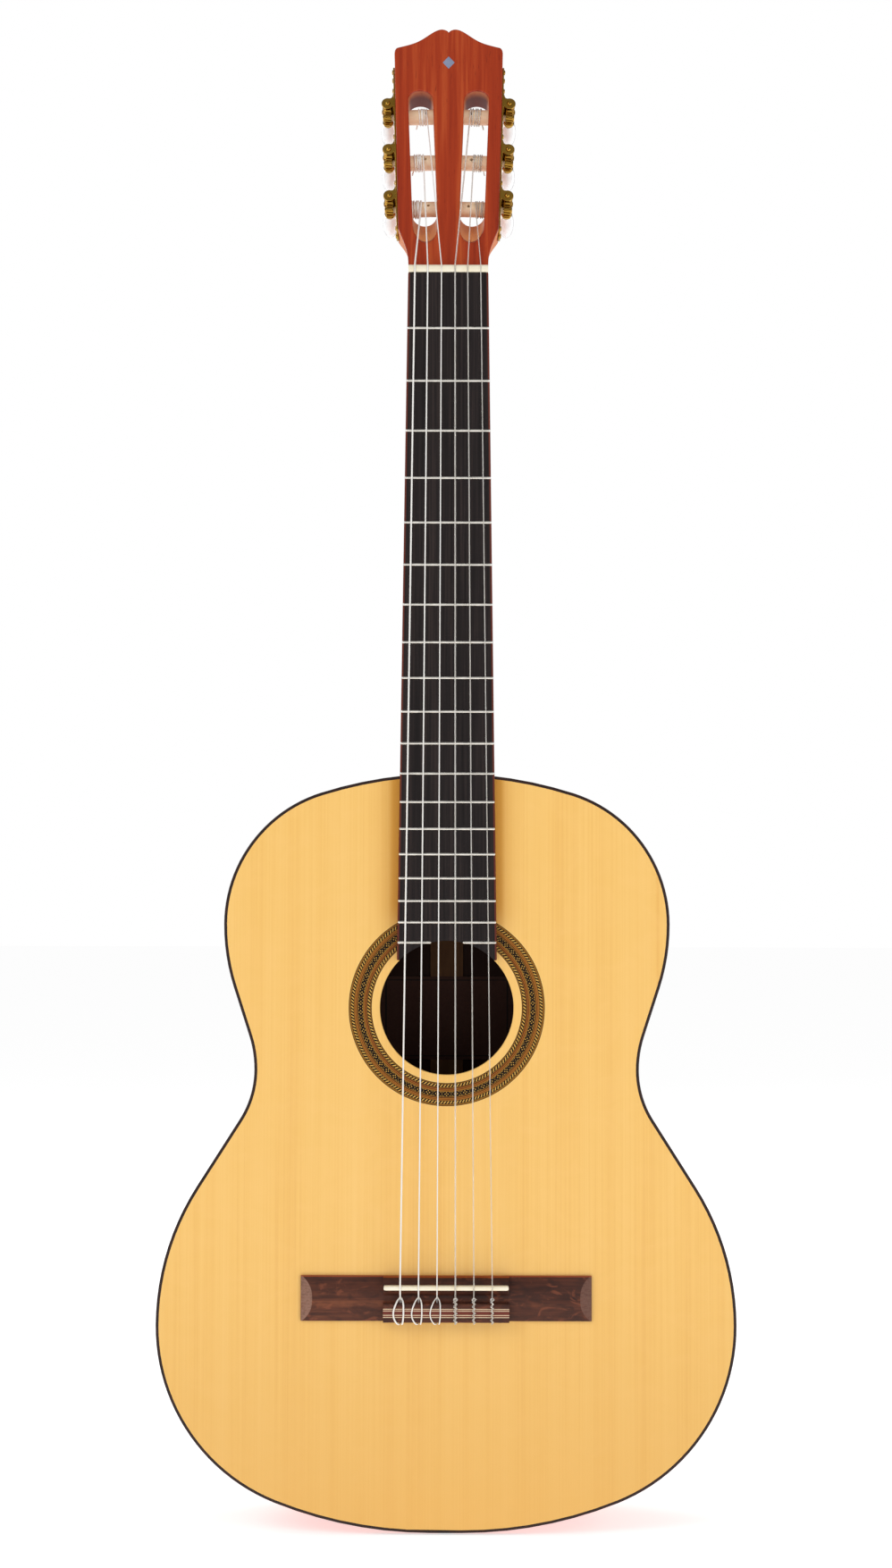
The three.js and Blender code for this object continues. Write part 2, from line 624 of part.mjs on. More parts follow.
// The bridge: low wings, a saddle slot, a ramp and a drilled tie block.
function bridge() {
  const low = TOP_Z + GAP;
  const slot = SADDLE.thickness / 2 + GAP;
  const side = [
    [BRIDGE.low, low],
    [BRIDGE.high, low],
    [BRIDGE.high, low + 4],
    [BRIDGE.high - 3.5, low + BRIDGE.height],
    [SADDLE.y + slot, low + BRIDGE.height],
    [SADDLE.y + slot, low + SADDLE.bed],
    [SADDLE.y - slot, low + SADDLE.bed],
    [SADDLE.y - slot, low + BRIDGE.height - 1],
    [BRIDGE.blockHigh + 0.5, low + BRIDGE.ledge - 1.5],
    [BRIDGE.blockHigh, low + BRIDGE.blockHeight],
    [BRIDGE.low + 0.8, low + BRIDGE.blockHeight],
    [BRIDGE.low, low + BRIDGE.blockHeight - 1],
  ];
  const wing = [
    [BRIDGE.low, low],
    [BRIDGE.high, low],
    [BRIDGE.high, low + 2],
    [BRIDGE.high - 6, low + BRIDGE.wingHeight],
    [BRIDGE.low + 6, low + BRIDGE.wingHeight],
    [BRIDGE.low, low + 2],
  ];
  const along = (section, half) => {
    const bar = plateBetween(shapeOf(section), -half, half);
    return solidOf(warp(bar, (y, z, x) => [x, y, z]));
  };
  const holes = STRINGS.map(({ saddle }) => {
    const drill = new THREE.CylinderGeometry(STRING_HOLE.radius, STRING_HOLE.radius, 30, STRING_HOLE.sides);
    return solidOf(drill.translate(saddle, BRIDGE.low, STRING_HOLE.z));
  });
  const whole = along(side, BRIDGE.blockHalfWidth).add(along(wing, BRIDGE.width / 2));
  return holes.reduce((solid, drill) => solid.subtract(drill), whole.subtract(bridgeChannel()));
}

// The saddle's slot and the ramp, cleared of the wings' stock.
function bridgeChannel() {
  const low = TOP_Z + GAP;
  const slot = SADDLE.thickness / 2 + GAP;
  const half = BRIDGE.blockHalfWidth;
  return solidOf(boxBetween(-half, half, SADDLE.y - slot, SADDLE.y + slot, low + SADDLE.bed, FAR));
}

function saddle() {
  const [half, thick] = [SADDLE.halfWidth, SADDLE.thickness / 2];
  const low = TOP_Z + SADDLE.bed + 2 * GAP;
  return boxBetween(-half, half, SADDLE.y - thick, SADDLE.y + thick, low, SADDLE.top);
}

// ---- Tuning machines -------------------------------------------------------------------------------

// How far the cheeks lean outwards on their way up.
function tunerLean() {
  const rise = HEAD.cornerY - 4 - HEAD.shoulderEnd;
  return Math.atan2(HEAD.cornerHalfWidth - HEAD.shoulderHalfWidth, rise);
}

// Where each string's tuner sits. Its frame has x out of the cheek and y along the plate; the head's
// back is towards -z on the treble side and towards +z on the bass side.
function tuners() {
  return STRINGS.map(({ nut, roller }, i) => {
    const sign = Math.sign(nut);
    const y = ROLLER.y[roller];
    const outer = HEAD.shoulderHalfWidth + Math.tan(tunerLean()) * (y - HEAD.shoulderEnd);
    const frame = new THREE.Matrix4()
      .makeTranslation(0, NUT_Y, HEAD.faceZ)
      .multiply(new THREE.Matrix4().makeRotationX(-radians(HEAD.tilt)))
      .multiply(new THREE.Matrix4().makeTranslation(sign * outer, y, -ROLLER.depth))
      .multiply(new THREE.Matrix4().makeRotationZ(-sign * tunerLean()))
      .multiply(new THREE.Matrix4().makeRotationY(sign < 0 ? Math.PI : 0));
    return { number: STRINGS.length - i, sign, y, outer, frame, slotX: slotCentre(y) };
  });
}

// Where a roller ends in the middle bar, measured from the cheek's outer face.
const rollerEnd = (tuner) => tuner.slotX - tuner.outer - SLOT.halfWidth - ROLLER.seat;

// A tuner's roller: a wide sleeve through cheek and slot on a core that carries the gear.
function roller(tuner) {
  const gearEnd = WORM_OUT + GEAR.thickness / 2 + GAP;
  const sleeve = [[rollerEnd(tuner), ROLLER.radius], [-GAP, ROLLER.radius]];
  return turned([...sleeve, [-GAP, ROLLER.core], [gearEnd, ROLLER.core]], 16);
}

// The gear: straight-flanked teeth with a gap facing the worm, twisted to the worm's lead.
function gear() {
  const pitch = (2 * Math.PI) / GEAR.teeth;
  const corner = (tooth, radius, share) => {
    const angle = (tooth + 0.5 + share) * pitch;
    return [radius * Math.cos(angle), radius * Math.sin(angle)];
  };
  const outline = Array.from({ length: GEAR.teeth }, (_, tooth) => [
    corner(tooth, GEAR.root, -0.27), corner(tooth, GEAR.outer, -0.12),
    corner(tooth, GEAR.outer, 0.12), corner(tooth, GEAR.root, 0.27),
  ]).flat();
  const shape = shapeOf(outline);
  shape.holes.push(circlePath(0, 0, ROLLER.core + GAP));
  const wheel = plateBetween(shape, -GEAR.thickness / 2, GEAR.thickness / 2, 4);
  const twist = WORM_LEAD / (2 * Math.PI * WORM.pitchRadius * GEAR.pitchRadius);
  const twisted = warp(wheel, (x, y, z) => {
    const [cos, sin] = [Math.cos(z * twist), Math.sin(z * twist)];
    return [x * cos - y * sin, x * sin + y * cos, z];
  });
  return twisted.rotateX(Math.PI / 2).rotateZ(Math.PI / 2).translate(WORM_OUT, 0, 0);
}

// The worm's thread: rows of points that climb around the core, flattened onto it at both ends.
function wormThread() {
  const half = WORM.length / 2;
  const turns = Math.ceil(half / WORM_LEAD + 1.5);
  const [crestShare, rootShare] = THREAD_FLANK;
  const rows = [{ height: -half, radius: 0 }];
  for (let turn = -turns; turn <= turns; turn++) {
    for (const phase of [-rootShare, -crestShare, crestShare, rootShare]) {
      const radius = Math.abs(phase) === crestShare ? WORM.crest : WORM.root;
      rows.push({ height: (turn + phase) * WORM_LEAD, radius });
    }
  }
  rows.push({ height: half, radius: 0 });
  const profile = rows.map(({ height, radius }) => new THREE.Vector2(radius, height));
  const thread = new THREE.LatheGeometry(profile, WORM.sides);
  const position = thread.getAttribute("position");
  for (let i = 0; i < position.count; i++) {
    const angle = (Math.floor(i / rows.length) / WORM.sides) * 2 * Math.PI;
    const row = rows[i % rows.length];
    const climbed = row.height + WORM_LEAD * (angle / (2 * Math.PI) + 0.25);
    const z = THREE.MathUtils.clamp(climbed, -half, half);
    const radius = row.radius && z !== climbed ? WORM.root : row.radius;
    const height = row.radius ? z : row.height;
    position.setXYZ(i, radius * Math.cos(angle), radius * Math.sin(angle), height);
  }
  return thread;
}

// The worm: journals in the two lugs, the thread between them and a shaft back to the ferrule.
function worm(tuner) {
  const reach = LUG.fromCentre + LUG.thickness;
  const depth = ROLLER.depth;
  const shaft = turned([
    [-reach, WORM.journal], [reach + GAP, WORM.journal], [reach + GAP, WORM_SHAFT.radius],
    [WORM_SHAFT.ferruleStart - depth, WORM_SHAFT.radius],
    [WORM_SHAFT.ferruleStart - depth, WORM_SHAFT.ferrule],
    [WORM_SHAFT.end - depth, WORM_SHAFT.ferrule - 0.5],
  ], WORM.sides).rotateY(tuner.sign * Math.PI / 2);
  return unite([solidOf(wormThread()), solidOf(shaft)]).translate([WORM_OUT, WORM_OFFSET, 0]);
}

// The finger button: a flattened egg on the ferrule's end.
function button(tuner) {
  const egg = new THREE.SphereGeometry(1, 12, 8);
  egg.scale(BUTTON.halfThickness, BUTTON.halfWidth, BUTTON.length / 2);
  const middle = WORM_SHAFT.end + GAP + BUTTON.length / 2 - ROLLER.depth;
  return egg.translate(WORM_OUT, WORM_OFFSET, -tuner.sign * middle);
}

// A bearing lug around the worm's axis, with a foot down to the plate at x = plateX.
function lug(middle, plateX) {
  const [z0, z1] = [middle - LUG.thickness / 2, middle + LUG.thickness / 2];
  const disc = new THREE.Shape().absarc(0, 0, LUG.radius, 0, 2 * Math.PI);
  const foot = boxBetween(plateX - WORM_OUT, 0, LUG.bore + GAP, LUG.radius - 0.4, z0, z1);
  const bore = new THREE.Shape().absarc(0, 0, LUG.bore, 0, 2 * Math.PI);
  const drill = plateBetween(bore, z0 - 1, z1 + 1, 4);
  return solidOf(plateBetween(disc, z0, z1, 6)).add(solidOf(foot)).subtract(solidOf(drill));
}

// One side's plate with a pair of bearing lugs for each worm.
function tunerPlate(sign) {
  const own = tuners().filter((tuner) => tuner.sign === sign);
  const origin = own.find((tuner) => tuner.y === ROLLER.y[0]);
  const lean = Math.cos(tunerLean());
  const [low, high] = [TUNER_PLATE.low, TUNER_PLATE.high].map((y) => (y - origin.y) / lean);
  const half = TUNER_PLATE.width / 2;
  const face = GAP + TUNER_PLATE.thickness;
  const coreBore = ROLLER.core + GAP;
  const parts = [solidOf(boxBetween(GAP, face, low, high, -half, half))];
  const bores = [];
  for (const { y } of own) {
    const up = (y - origin.y) / lean;
    const bore = turned([[-1, coreBore], [face + 1, coreBore]], 8);
    bores.push(solidOf(bore.translate(0, up, 0)));
    for (const end of [-1, 1]) {
      const middle = end * (LUG.fromCentre + LUG.thickness / 2);
      parts.push(lug(middle, face / 2).translate([WORM_OUT, up + WORM_OFFSET, 0]));
    }
  }
  const plate = bores.reduce((solid, bore) => solid.subtract(bore), unite(parts));
  return { plate, frame: origin.frame };
}

// ---- Strings ---------------------------------------------------------------------------------------

// A route through given points, one step from each point to the next.
class Route extends THREE.Curve {
  constructor(points) {
    super();
    this.points = points;
  }

  getPoint(share) {
    const place = share * (this.points.length - 1);
    const index = Math.min(Math.floor(place), this.points.length - 2);
    return this.points[index].clone().lerp(this.points[index + 1], place - index);
  }

  getUtoTmapping(share) {
    return share;
  }
}

// Where a line from a point touches the front of a circle, seen from the side.
function frontTangent(point, centre, radius) {
  const [dy, dz] = [point.y - centre.y, point.z - centre.z];
  const angle = Math.atan2(dz, dy) - Math.acos(radius / Math.hypot(dy, dz));
  return [centre.y + radius * Math.cos(angle), centre.z + radius * Math.sin(angle)];
}

// A string: tie block, saddle, nut and the front of its roller.
function string({ nut, saddle, radius, roller }) {
  const overNut = NUT.top + GAP + radius;
  const overSaddle = SADDLE.top + GAP + radius;
  const edge = SADDLE.thickness / 2 + GAP;
  const onHead = new THREE.Matrix4().makeTranslation(0, NUT_Y, HEAD.faceZ)
    .multiply(new THREE.Matrix4().makeRotationX(-radians(HEAD.tilt)));
  const leave = new THREE.Vector3(nut, NUT_Y + NUT.thickness, overNut);
  const from = leave.clone().applyMatrix4(onHead.clone().invert());
  const centre = { y: ROLLER.y[roller], z: -ROLLER.depth };
  const [y, z] = frontTangent(from, centre, ROLLER.radius + GAP + radius);
  const tip = new THREE.Vector3(Math.sign(nut) * ROLLER.stringX[roller], y, z).applyMatrix4(onHead);
  const route = new Route([
    new THREE.Vector3(saddle, BRIDGE.low - 3, STRING_HOLE.z),
    new THREE.Vector3(saddle, BRIDGE.blockHigh + 0.6, STRING_HOLE.z),
    new THREE.Vector3(saddle, SADDLE.y - edge, overSaddle),
    new THREE.Vector3(saddle, SADDLE.y + edge, overSaddle),
    new THREE.Vector3(nut, NUT_Y, overNut),
    leave,
    tip,
  ]);
  const section = new THREE.Shape().absarc(0, 0, radius, 0, 2 * Math.PI);
  return new THREE.ExtrudeGeometry(section, {
    steps: route.points.length - 1,
    extrudePath: route,
    curveSegments: STRING_SIDES / 2,
  });
}

// ---- Assembly --------------------------------------------------------------------------------------

const guitar = new THREE.Group();
guitar.rotation.x = Math.PI / 2;
const add = (name, shape, material) => guitar.add(meshOf(name, shape, material));

add("soundboard", soundboard(), SPRUCE);
add("rosette", rosette(), MOSAIC);
add("back_plate", backPlate(), MAHOGANY);
add("bass_side", side(-1), MAHOGANY);
add("treble_side", side(1), MAHOGANY);
add("end_graft", endGraft(), BINDING);
add("top_binding", loop(0, SIDE_THICKNESS, TOP_Z - BINDING_HEIGHT, TOP_Z), BINDING);
add("back_binding", loop(0, SIDE_THICKNESS, backSurface, aboveBack(BINDING_HEIGHT)), BINDING);
add("bass_top_lining", topLining(-1), RAW_MAHOGANY);
add("treble_top_lining", topLining(1), RAW_MAHOGANY);
add("bass_back_lining", backLining(-1), RAW_MAHOGANY);
add("treble_back_lining", backLining(1), RAW_MAHOGANY);
add("heel_block", block(HEEL_BLOCK, false), RAW_MAHOGANY);
add("tail_block", block(TAIL_BLOCK, true), RAW_MAHOGANY);
add("upper_harmonic_bar", harmonicBar(HOLE.y + HOLE.radius + BAR.fromHole), RAW_SPRUCE);
add("lower_harmonic_bar", harmonicBar(HOLE.y - HOLE.radius - BAR.fromHole), RAW_SPRUCE);
add("fan_braces", fanBraces(), RAW_SPRUCE);
add("back_center_strip", backStrip(), RAW_SPRUCE);
BACK_BRACES.y.forEach((y, i) => add(`back_brace_${i + 1}`, backBrace(y), RAW_SPRUCE));
add("neck", neck(), MAHOGANY);
add("heel_cap", heelCap(), BINDING);
add("headstock_veneer", headVeneer(), MAHOGANY);
add("fretboard", fretboard(), FRETBOARD_WOOD);
add("nut", nut(), BONE);
add("bridge", bridge(), ROSEWOOD);
add("saddle", saddle(), BONE);

STRINGS.forEach((one, i) => {
  add(`string_${STRINGS.length - i}`, string(one), one.nut < 0 ? SILVER_WOUND : NYLON);
});

for (const tuner of tuners()) {
  const machine = new THREE.Group();
  machine.applyMatrix4(tuner.frame);
  machine.add(meshOf(`roller_${tuner.number}`, roller(tuner), IVORY_PLASTIC));
  machine.add(meshOf(`gear_${tuner.number}`, gear(), GOLD));
  machine.add(meshOf(`worm_${tuner.number}`, worm(tuner), GOLD));
  machine.add(meshOf(`button_${tuner.number}`, button(tuner), PEARL));
  guitar.add(machine);
}

for (const [name, sign] of [["bass_tuner_plate", -1], ["treble_tuner_plate", 1]]) {
  const { plate, frame } = tunerPlate(sign);
  const mesh = meshOf(name, plate, GOLD);
  mesh.applyMatrix4(frame);
  guitar.add(mesh);
}

const part = new THREE.Group();
part.add(guitar);
export default part;
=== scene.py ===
"""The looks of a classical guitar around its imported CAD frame, for Blender 4.5.

Shapes are drawn in a front view in millimetres, x to the right, y up the neck and z towards the viewer,
as in the CAD model, and FRONT turns them into the row's frame in metres.
"""

import math
from collections import namedtuple

import bmesh
import bpy
from mathutils import Matrix, Vector


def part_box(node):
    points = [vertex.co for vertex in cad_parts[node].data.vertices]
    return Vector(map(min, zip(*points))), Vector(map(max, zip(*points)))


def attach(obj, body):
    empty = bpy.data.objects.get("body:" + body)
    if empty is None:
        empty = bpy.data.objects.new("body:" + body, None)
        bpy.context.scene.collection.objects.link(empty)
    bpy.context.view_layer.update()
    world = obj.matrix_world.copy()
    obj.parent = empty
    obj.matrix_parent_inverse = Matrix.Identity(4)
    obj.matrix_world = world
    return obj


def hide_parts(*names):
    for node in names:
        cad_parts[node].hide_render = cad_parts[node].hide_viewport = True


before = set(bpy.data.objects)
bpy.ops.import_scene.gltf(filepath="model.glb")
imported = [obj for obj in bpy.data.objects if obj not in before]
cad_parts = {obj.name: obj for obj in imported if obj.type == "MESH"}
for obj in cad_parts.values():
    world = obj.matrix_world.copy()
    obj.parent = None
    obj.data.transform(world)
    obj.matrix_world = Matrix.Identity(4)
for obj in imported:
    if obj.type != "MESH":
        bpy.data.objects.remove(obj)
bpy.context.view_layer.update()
FRONT = Matrix.Scale(0.001, 4) @ Matrix.Rotation(math.pi / 2, 4, "X")


def front_box(node):
    """A CAD node's lowest and highest corners in the front view, in millimetres."""
    low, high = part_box(node)
    return Vector((low.x, low.z, -high.y)) * 1000, Vector((high.x, high.z, -low.y)) * 1000


# ---- Driving dimensions, in millimetres, the same as in the CAD model --------------------------------

TOP_Z = front_box("soundboard")[1].z
PLATE = TOP_Z - front_box("soundboard")[0].z
NUT_Y = round(front_box("nut")[0].y, 0)
NUT_END = front_box("nut")[1].y
NUT_TOP = front_box("nut")[1].z
HOLE_Y = (front_box("rosette")[0].y + front_box("rosette")[1].y) / 2
HOLE_RADIUS = 42.8
SCALE_LENGTH = 650
FRETS = 19
BOARD_TOP = front_box("fretboard")[1].z - 1
BOARD_LENGTH = 444.5
BOARD_WIDTHS = (52, 63.8)
SADDLE_Y = (front_box("saddle")[0].y + front_box("saddle")[1].y) / 2
SADDLE_TOP = front_box("saddle")[1].z
EDGE = 2  # width of the bindings and thickness of the sides
BINDING_HEIGHT = 5
TAIL_FLAT = 10
GRAFT_HALF = 4
BODY_ARCS = (  # radius and turn in degrees, or a straight length and 0
    (270, 21.5), (120, 68.5), (163, 32.5), (50.6, 0), (59, -32.5), (70, -18), (32.7, 0), (131, 18), (88.5, 72.3),
)
BACK_Z = -49  # the back's edge at the tail
BACK_RADIUS = 5200  # of the back's arch from side to side
HEAD_TILT = math.radians(15.2)
HEAD_FACE = 51
HEAD_THICKNESS = 20
VENEER = 1.7
SLOT_RAMP = 24  # how far the slot's end by the nut slopes in over the head's thickness
SLOT = {"low": 22.8, "high": 138.2, "half": 8.25, "centre_low": 14.6, "centre_high": 18.9}
ROLLER_Y = (54, 89, 124)
ROLLER_DEPTH = 11.5
ROLLER_RADIUS = 5
WORM_OUT = 5.3
WORM_OFFSET = 7.75
GEAR_TEETH = 14
GEAR_PITCH_RADIUS = 4.75
WORM_PITCH_RADIUS = 3
WORM_LEAD = 2 * math.pi * GEAR_PITCH_RADIUS / GEAR_TEETH
CHEEK_LOW = (32.8, 34)  # where the head's straight cheek begins, and how it leans out
CHEEK_LEAN = math.atan2(3.5, 132)
HEEL_HALF = 12
HEEL_REACH = 26  # from the body to the front of the heel's cap
HEEL_SWEEP = 38
HEEL_CAP = 2.2
TIE_HEIGHT = 54  # of the string holes through the tie block

HEAD = Matrix.Translation((0, NUT_Y, HEAD_FACE)) @ Matrix.Rotation(-HEAD_TILT, 4, "X")


def lerp(a, b, t):
    return a + (b - a) * t


def unit(t):
    return min(1.0, max(0.0, t))


def ease(t):
    return t * t * (3 - 2 * t)


def angles(start, end, steps):
    """Evenly spaced angles, both ends included."""
    return [start + (end - start) * i / steps for i in range(steps + 1)]


# ---- Body outline --------------------------------------------------------------------------------------


def body_walk(fine=3.0):
    """The right half of the outline as (x, y, heading), with a point every few degrees."""
    x, y, heading = TAIL_FLAT, 0.0, 0.0
    walk = [(x, y, heading)]

    def bend(radius, turn):
        nonlocal x, y, heading
        steps = max(2, round(abs(math.degrees(turn)) / fine))
        for _ in range(steps):
            chord = 2 * radius * math.sin(abs(turn) / steps / 2)
            x += chord * math.cos(heading + turn / steps / 2)
            y += chord * math.sin(heading + turn / steps / 2)
            heading += turn / steps
            walk.append((x, y, heading))

    for size, turn in BODY_ARCS:
        if turn:
            bend(size, math.radians(turn))
            continue
        for _ in range(6):
            x += size / 6 * math.cos(heading)
            y += size / 6 * math.sin(heading)
            walk.append((x, y, heading))
    rest = math.pi - heading
    bend(x / math.sin(rest), rest)
    return walk


WALK = body_walk()
BODY_LENGTH = WALK[-1][1]


def half_outline(inset):
    points = [(x - inset * math.sin(h), y + inset * math.cos(h)) for x, y, h in WALK]
    return points[:-1] + [(0.0, points[-1][1])]


def full_outline(inset):
    right = half_outline(inset)
    return right + [(-x, y) for x, y in right[-2::-1]]


def back_surface(x, y):
    share = y / BODY_LENGTH
    return BACK_Z + 6 * share - 10 * share * (1 - share) + x * x / (2 * BACK_RADIUS)


# ---- Mesh helpers ----------------------------------------------------------------------------------------


def finish_piece(obj, material, slot, replaces=(), angle=35, body="root_body"):
    """Shades, paints, places and names what a piece rides on."""
    obj.data.shade_smooth()
    obj.data.set_sharp_from_angle(angle=math.radians(angle))
    obj.modifiers.new("flat_faces_stay_flat", "WEIGHTED_NORMAL").keep_sharp = True
    apply_modifiers(obj)
    obj.data.materials.clear()
    obj.data.materials.append(material)
    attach(obj, body)
    if replaces:
        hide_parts(*replaces)
    return obj


def mesh_object(name, points, faces, place=Matrix.Identity(4), uvs=None):
    """A mesh from front-view points; place moves it within the front view first."""
    mesh = bpy.data.meshes.new(name)
    mesh.from_pydata([FRONT @ (place @ Vector(p)) for p in points], [], faces)
    if uvs is not None:
        layer = mesh.uv_layers.new(name="UVMap")
        for loop in mesh.loops:
            layer.data[loop.index].uv = uvs[loop.vertex_index]
    mesh.validate()
    obj = bpy.data.objects.new(name, mesh)
    bpy.context.scene.collection.objects.link(obj)
    face_out(obj)
    return obj


def face_out(obj):
    work = bmesh.new()
    work.from_mesh(obj.data)
    bmesh.ops.remove_doubles(work, verts=work.verts, dist=1e-6)
    bmesh.ops.recalc_face_normals(work, faces=work.faces)
    work.to_mesh(obj.data)
    work.free()


def loft(name, rings, place=Matrix.Identity(4), loop=False, uvs=None):
    """Skins rings with the same number of points. It is capped, or as a loop joins the last ring to the first."""
    count = len(rings[0])
    points = [p for ring in rings for p in ring]
    faces = []
    for i in range(len(rings) if loop else len(rings) - 1):
        a, b = i * count, (i + 1) % len(rings) * count
        for j in range(count):
            k = (j + 1) % count
            faces.append((a + j, a + k, b + k, b + j))
    if not loop:
        faces.append(tuple(range(count - 1, -1, -1)))
        faces.append(tuple((len(rings) - 1) * count + j for j in range(count)))
    return mesh_object(name, points, faces, place, uvs)


def apply_modifiers(obj):
    """Replaces an object's mesh by what its modifiers make of it."""
    bpy.context.view_layer.update()
    graph = bpy.context.evaluated_depsgraph_get()
    made = bpy.data.meshes.new_from_object(obj.evaluated_get(graph))
    obj.modifiers.clear()
    obj.data = made
    return obj


def bevelled(obj, width, segments=2, angle=40):
    modifier = obj.modifiers.new("bevel", "BEVEL")
    modifier.width = width * 0.001
    modifier.segments = segments
    modifier.limit_method = "ANGLE"
    modifier.angle_limit = math.radians(angle)
    modifier.harden_normals = False
    return apply_modifiers(obj)


def soften(obj, size, segments, chosen):
    """Rounds the sharp edges whose two ends are chosen, given as points of the front view."""
    to_front = FRONT.inverted()
    work = bmesh.new()
    work.from_mesh(obj.data)
    picked = {v for v in work.verts if chosen(to_front @ v.co)}
    near = [
        e for e in work.edges
        if e.verts[0] in picked and e.verts[1] in picked and len(e.link_faces) == 2
        and e.calc_face_angle(0) > math.radians(40)
    ]
    bmesh.ops.bevel(work, geom=near, offset=size * 0.001, segments=segments, affect="EDGES", profile=0.5)
    work.to_mesh(obj.data)
    work.free()
    return obj


def cut(obj, cutter, operation="DIFFERENCE"):
    """Cuts one piece with another and removes the cutter."""
    modifier = obj.modifiers.new("cut", "BOOLEAN")
    modifier.object = cutter
    modifier.operation = operation
    modifier.solver = "EXACT"
    apply_modifiers(obj)
    bpy.data.objects.remove(cutter)
    return obj


def prism(name, outline, z0, z1, place=Matrix.Identity(4)):
    """A straight-sided solid over a front-view outline."""
    return loft(name, [[(x, y, z) for x, y in outline] for z in (z0, z1)], place)


def sheet_with_hole(name, edge, hole, middle, z0, z1):
    """A flat sheet. Its edge and its hole both start under (0, middle) and go round it anticlockwise."""
    def turns(loop):
        found = [(math.atan2(y - middle, x) + math.pi / 2) % (2 * math.pi) for x, y in loop]
        return [0.0] + found[1:] + [2 * math.pi]

    edge_turns, hole_turns = turns(edge), turns(hole)
    outside, inside = len(edge), len(hole)
    points = [(x, y, z) for z in (z0, z1) for x, y in edge + hole]
    above = outside + inside
    flat, i, j = [], 0, 0
    while i < outside or j < inside:
        a, b = i % outside, outside + j % inside
        if j == inside or (i < outside and edge_turns[i + 1] <= hole_turns[j + 1]):
            i += 1
            flat.append((a, i % outside, b))
        else:
            j += 1
            flat.append((a, outside + j % inside, b))
    faces = flat + [tuple(k + above for k in face) for face in flat]
    faces += [(k, (k + 1) % outside, (k + 1) % outside + above, k + above) for k in range(outside)]
    faces += [(outside + k, outside + (k + 1) % inside, outside + (k + 1) % inside + above, outside + k + above)
              for k in range(inside)]
    return mesh_object(name, points, faces)


def circle(radius, count=96, x=0.0, y=0.0, start=0.0):
    step = 2 * math.pi / count
    return [(x + radius * math.cos(start + i * step), y + radius * math.sin(start + i * step)) for i in range(count)]


def turned(name, profile, place, sides=32, axis="z"):
    """A turned piece from (height, radius) steps along an axis; both ends are closed."""
    rings = []
    for height, radius in profile:
        ring = []
        for x, y in circle(max(radius, 1e-4), sides):
            ring.append((height, x, y) if axis == "x" else (x, y, height))
        rings.append(ring)
    return loft(name, rings, place)


def tube(name, path, radius, sides=12, place=Matrix.Identity(4)):
    """A round tube along a path of front-view points, with the length run in its UVs."""
    points = [Vector(p) for p in path]
    tangents = [(after - before).normalized() for before, after in zip(points[:1] + points, points[1:] + points[-1:])]
    normal = tangents[0].orthogonal().normalized()
    rings, uvs, run = [], [], 0.0
    for i, (point, tangent) in enumerate(zip(points, tangents)):
        if i:
            run += (point - points[i - 1]).length
            normal = tangents[i - 1].rotation_difference(tangent) @ normal
        normal = (normal - tangent * normal.dot(tangent)).normalized()
        across = tangent.cross(normal)
        ring = []
        for a in range(sides):
            angle = 2 * math.pi * a / sides
            ring.append(point + (normal * math.cos(angle) + across * math.sin(angle)) * radius)
            uvs.append((a / sides, run * 0.001))
        rings.append(ring)
    return loft(name, rings, place, uvs=uvs)


def smooth_path(points, steps=8):
    """A Catmull-Rom curve through points."""
    vectors = [Vector(p) for p in points]
    ends = [vectors[0] * 2 - vectors[1]] + vectors + [vectors[-1] * 2 - vectors[-2]]
    path = []
    for a, b, c, d in zip(ends, ends[1:], ends[2:], ends[3:]):
        for i in range(steps):
            t = i / steps
            path.append(
                0.5 * (2 * b + (c - a) * t + (2 * a - 5 * b + 4 * c - d) * t * t + (3 * b - a - 3 * c + d) * t ** 3)
            )
    return path + [vectors[-1]]


# ---- Materials -----------------------------------------------------------------------------------------


def srgb(red, green, blue):
    """A colour given as 0 to 255 on screen, as the linear value that a shader takes."""
    linear = [((c / 255 + 0.055) / 1.055) ** 2.4 if c > 10 else c / 3295 for c in (red, green, blue)]
    return (*linear, 1.0)


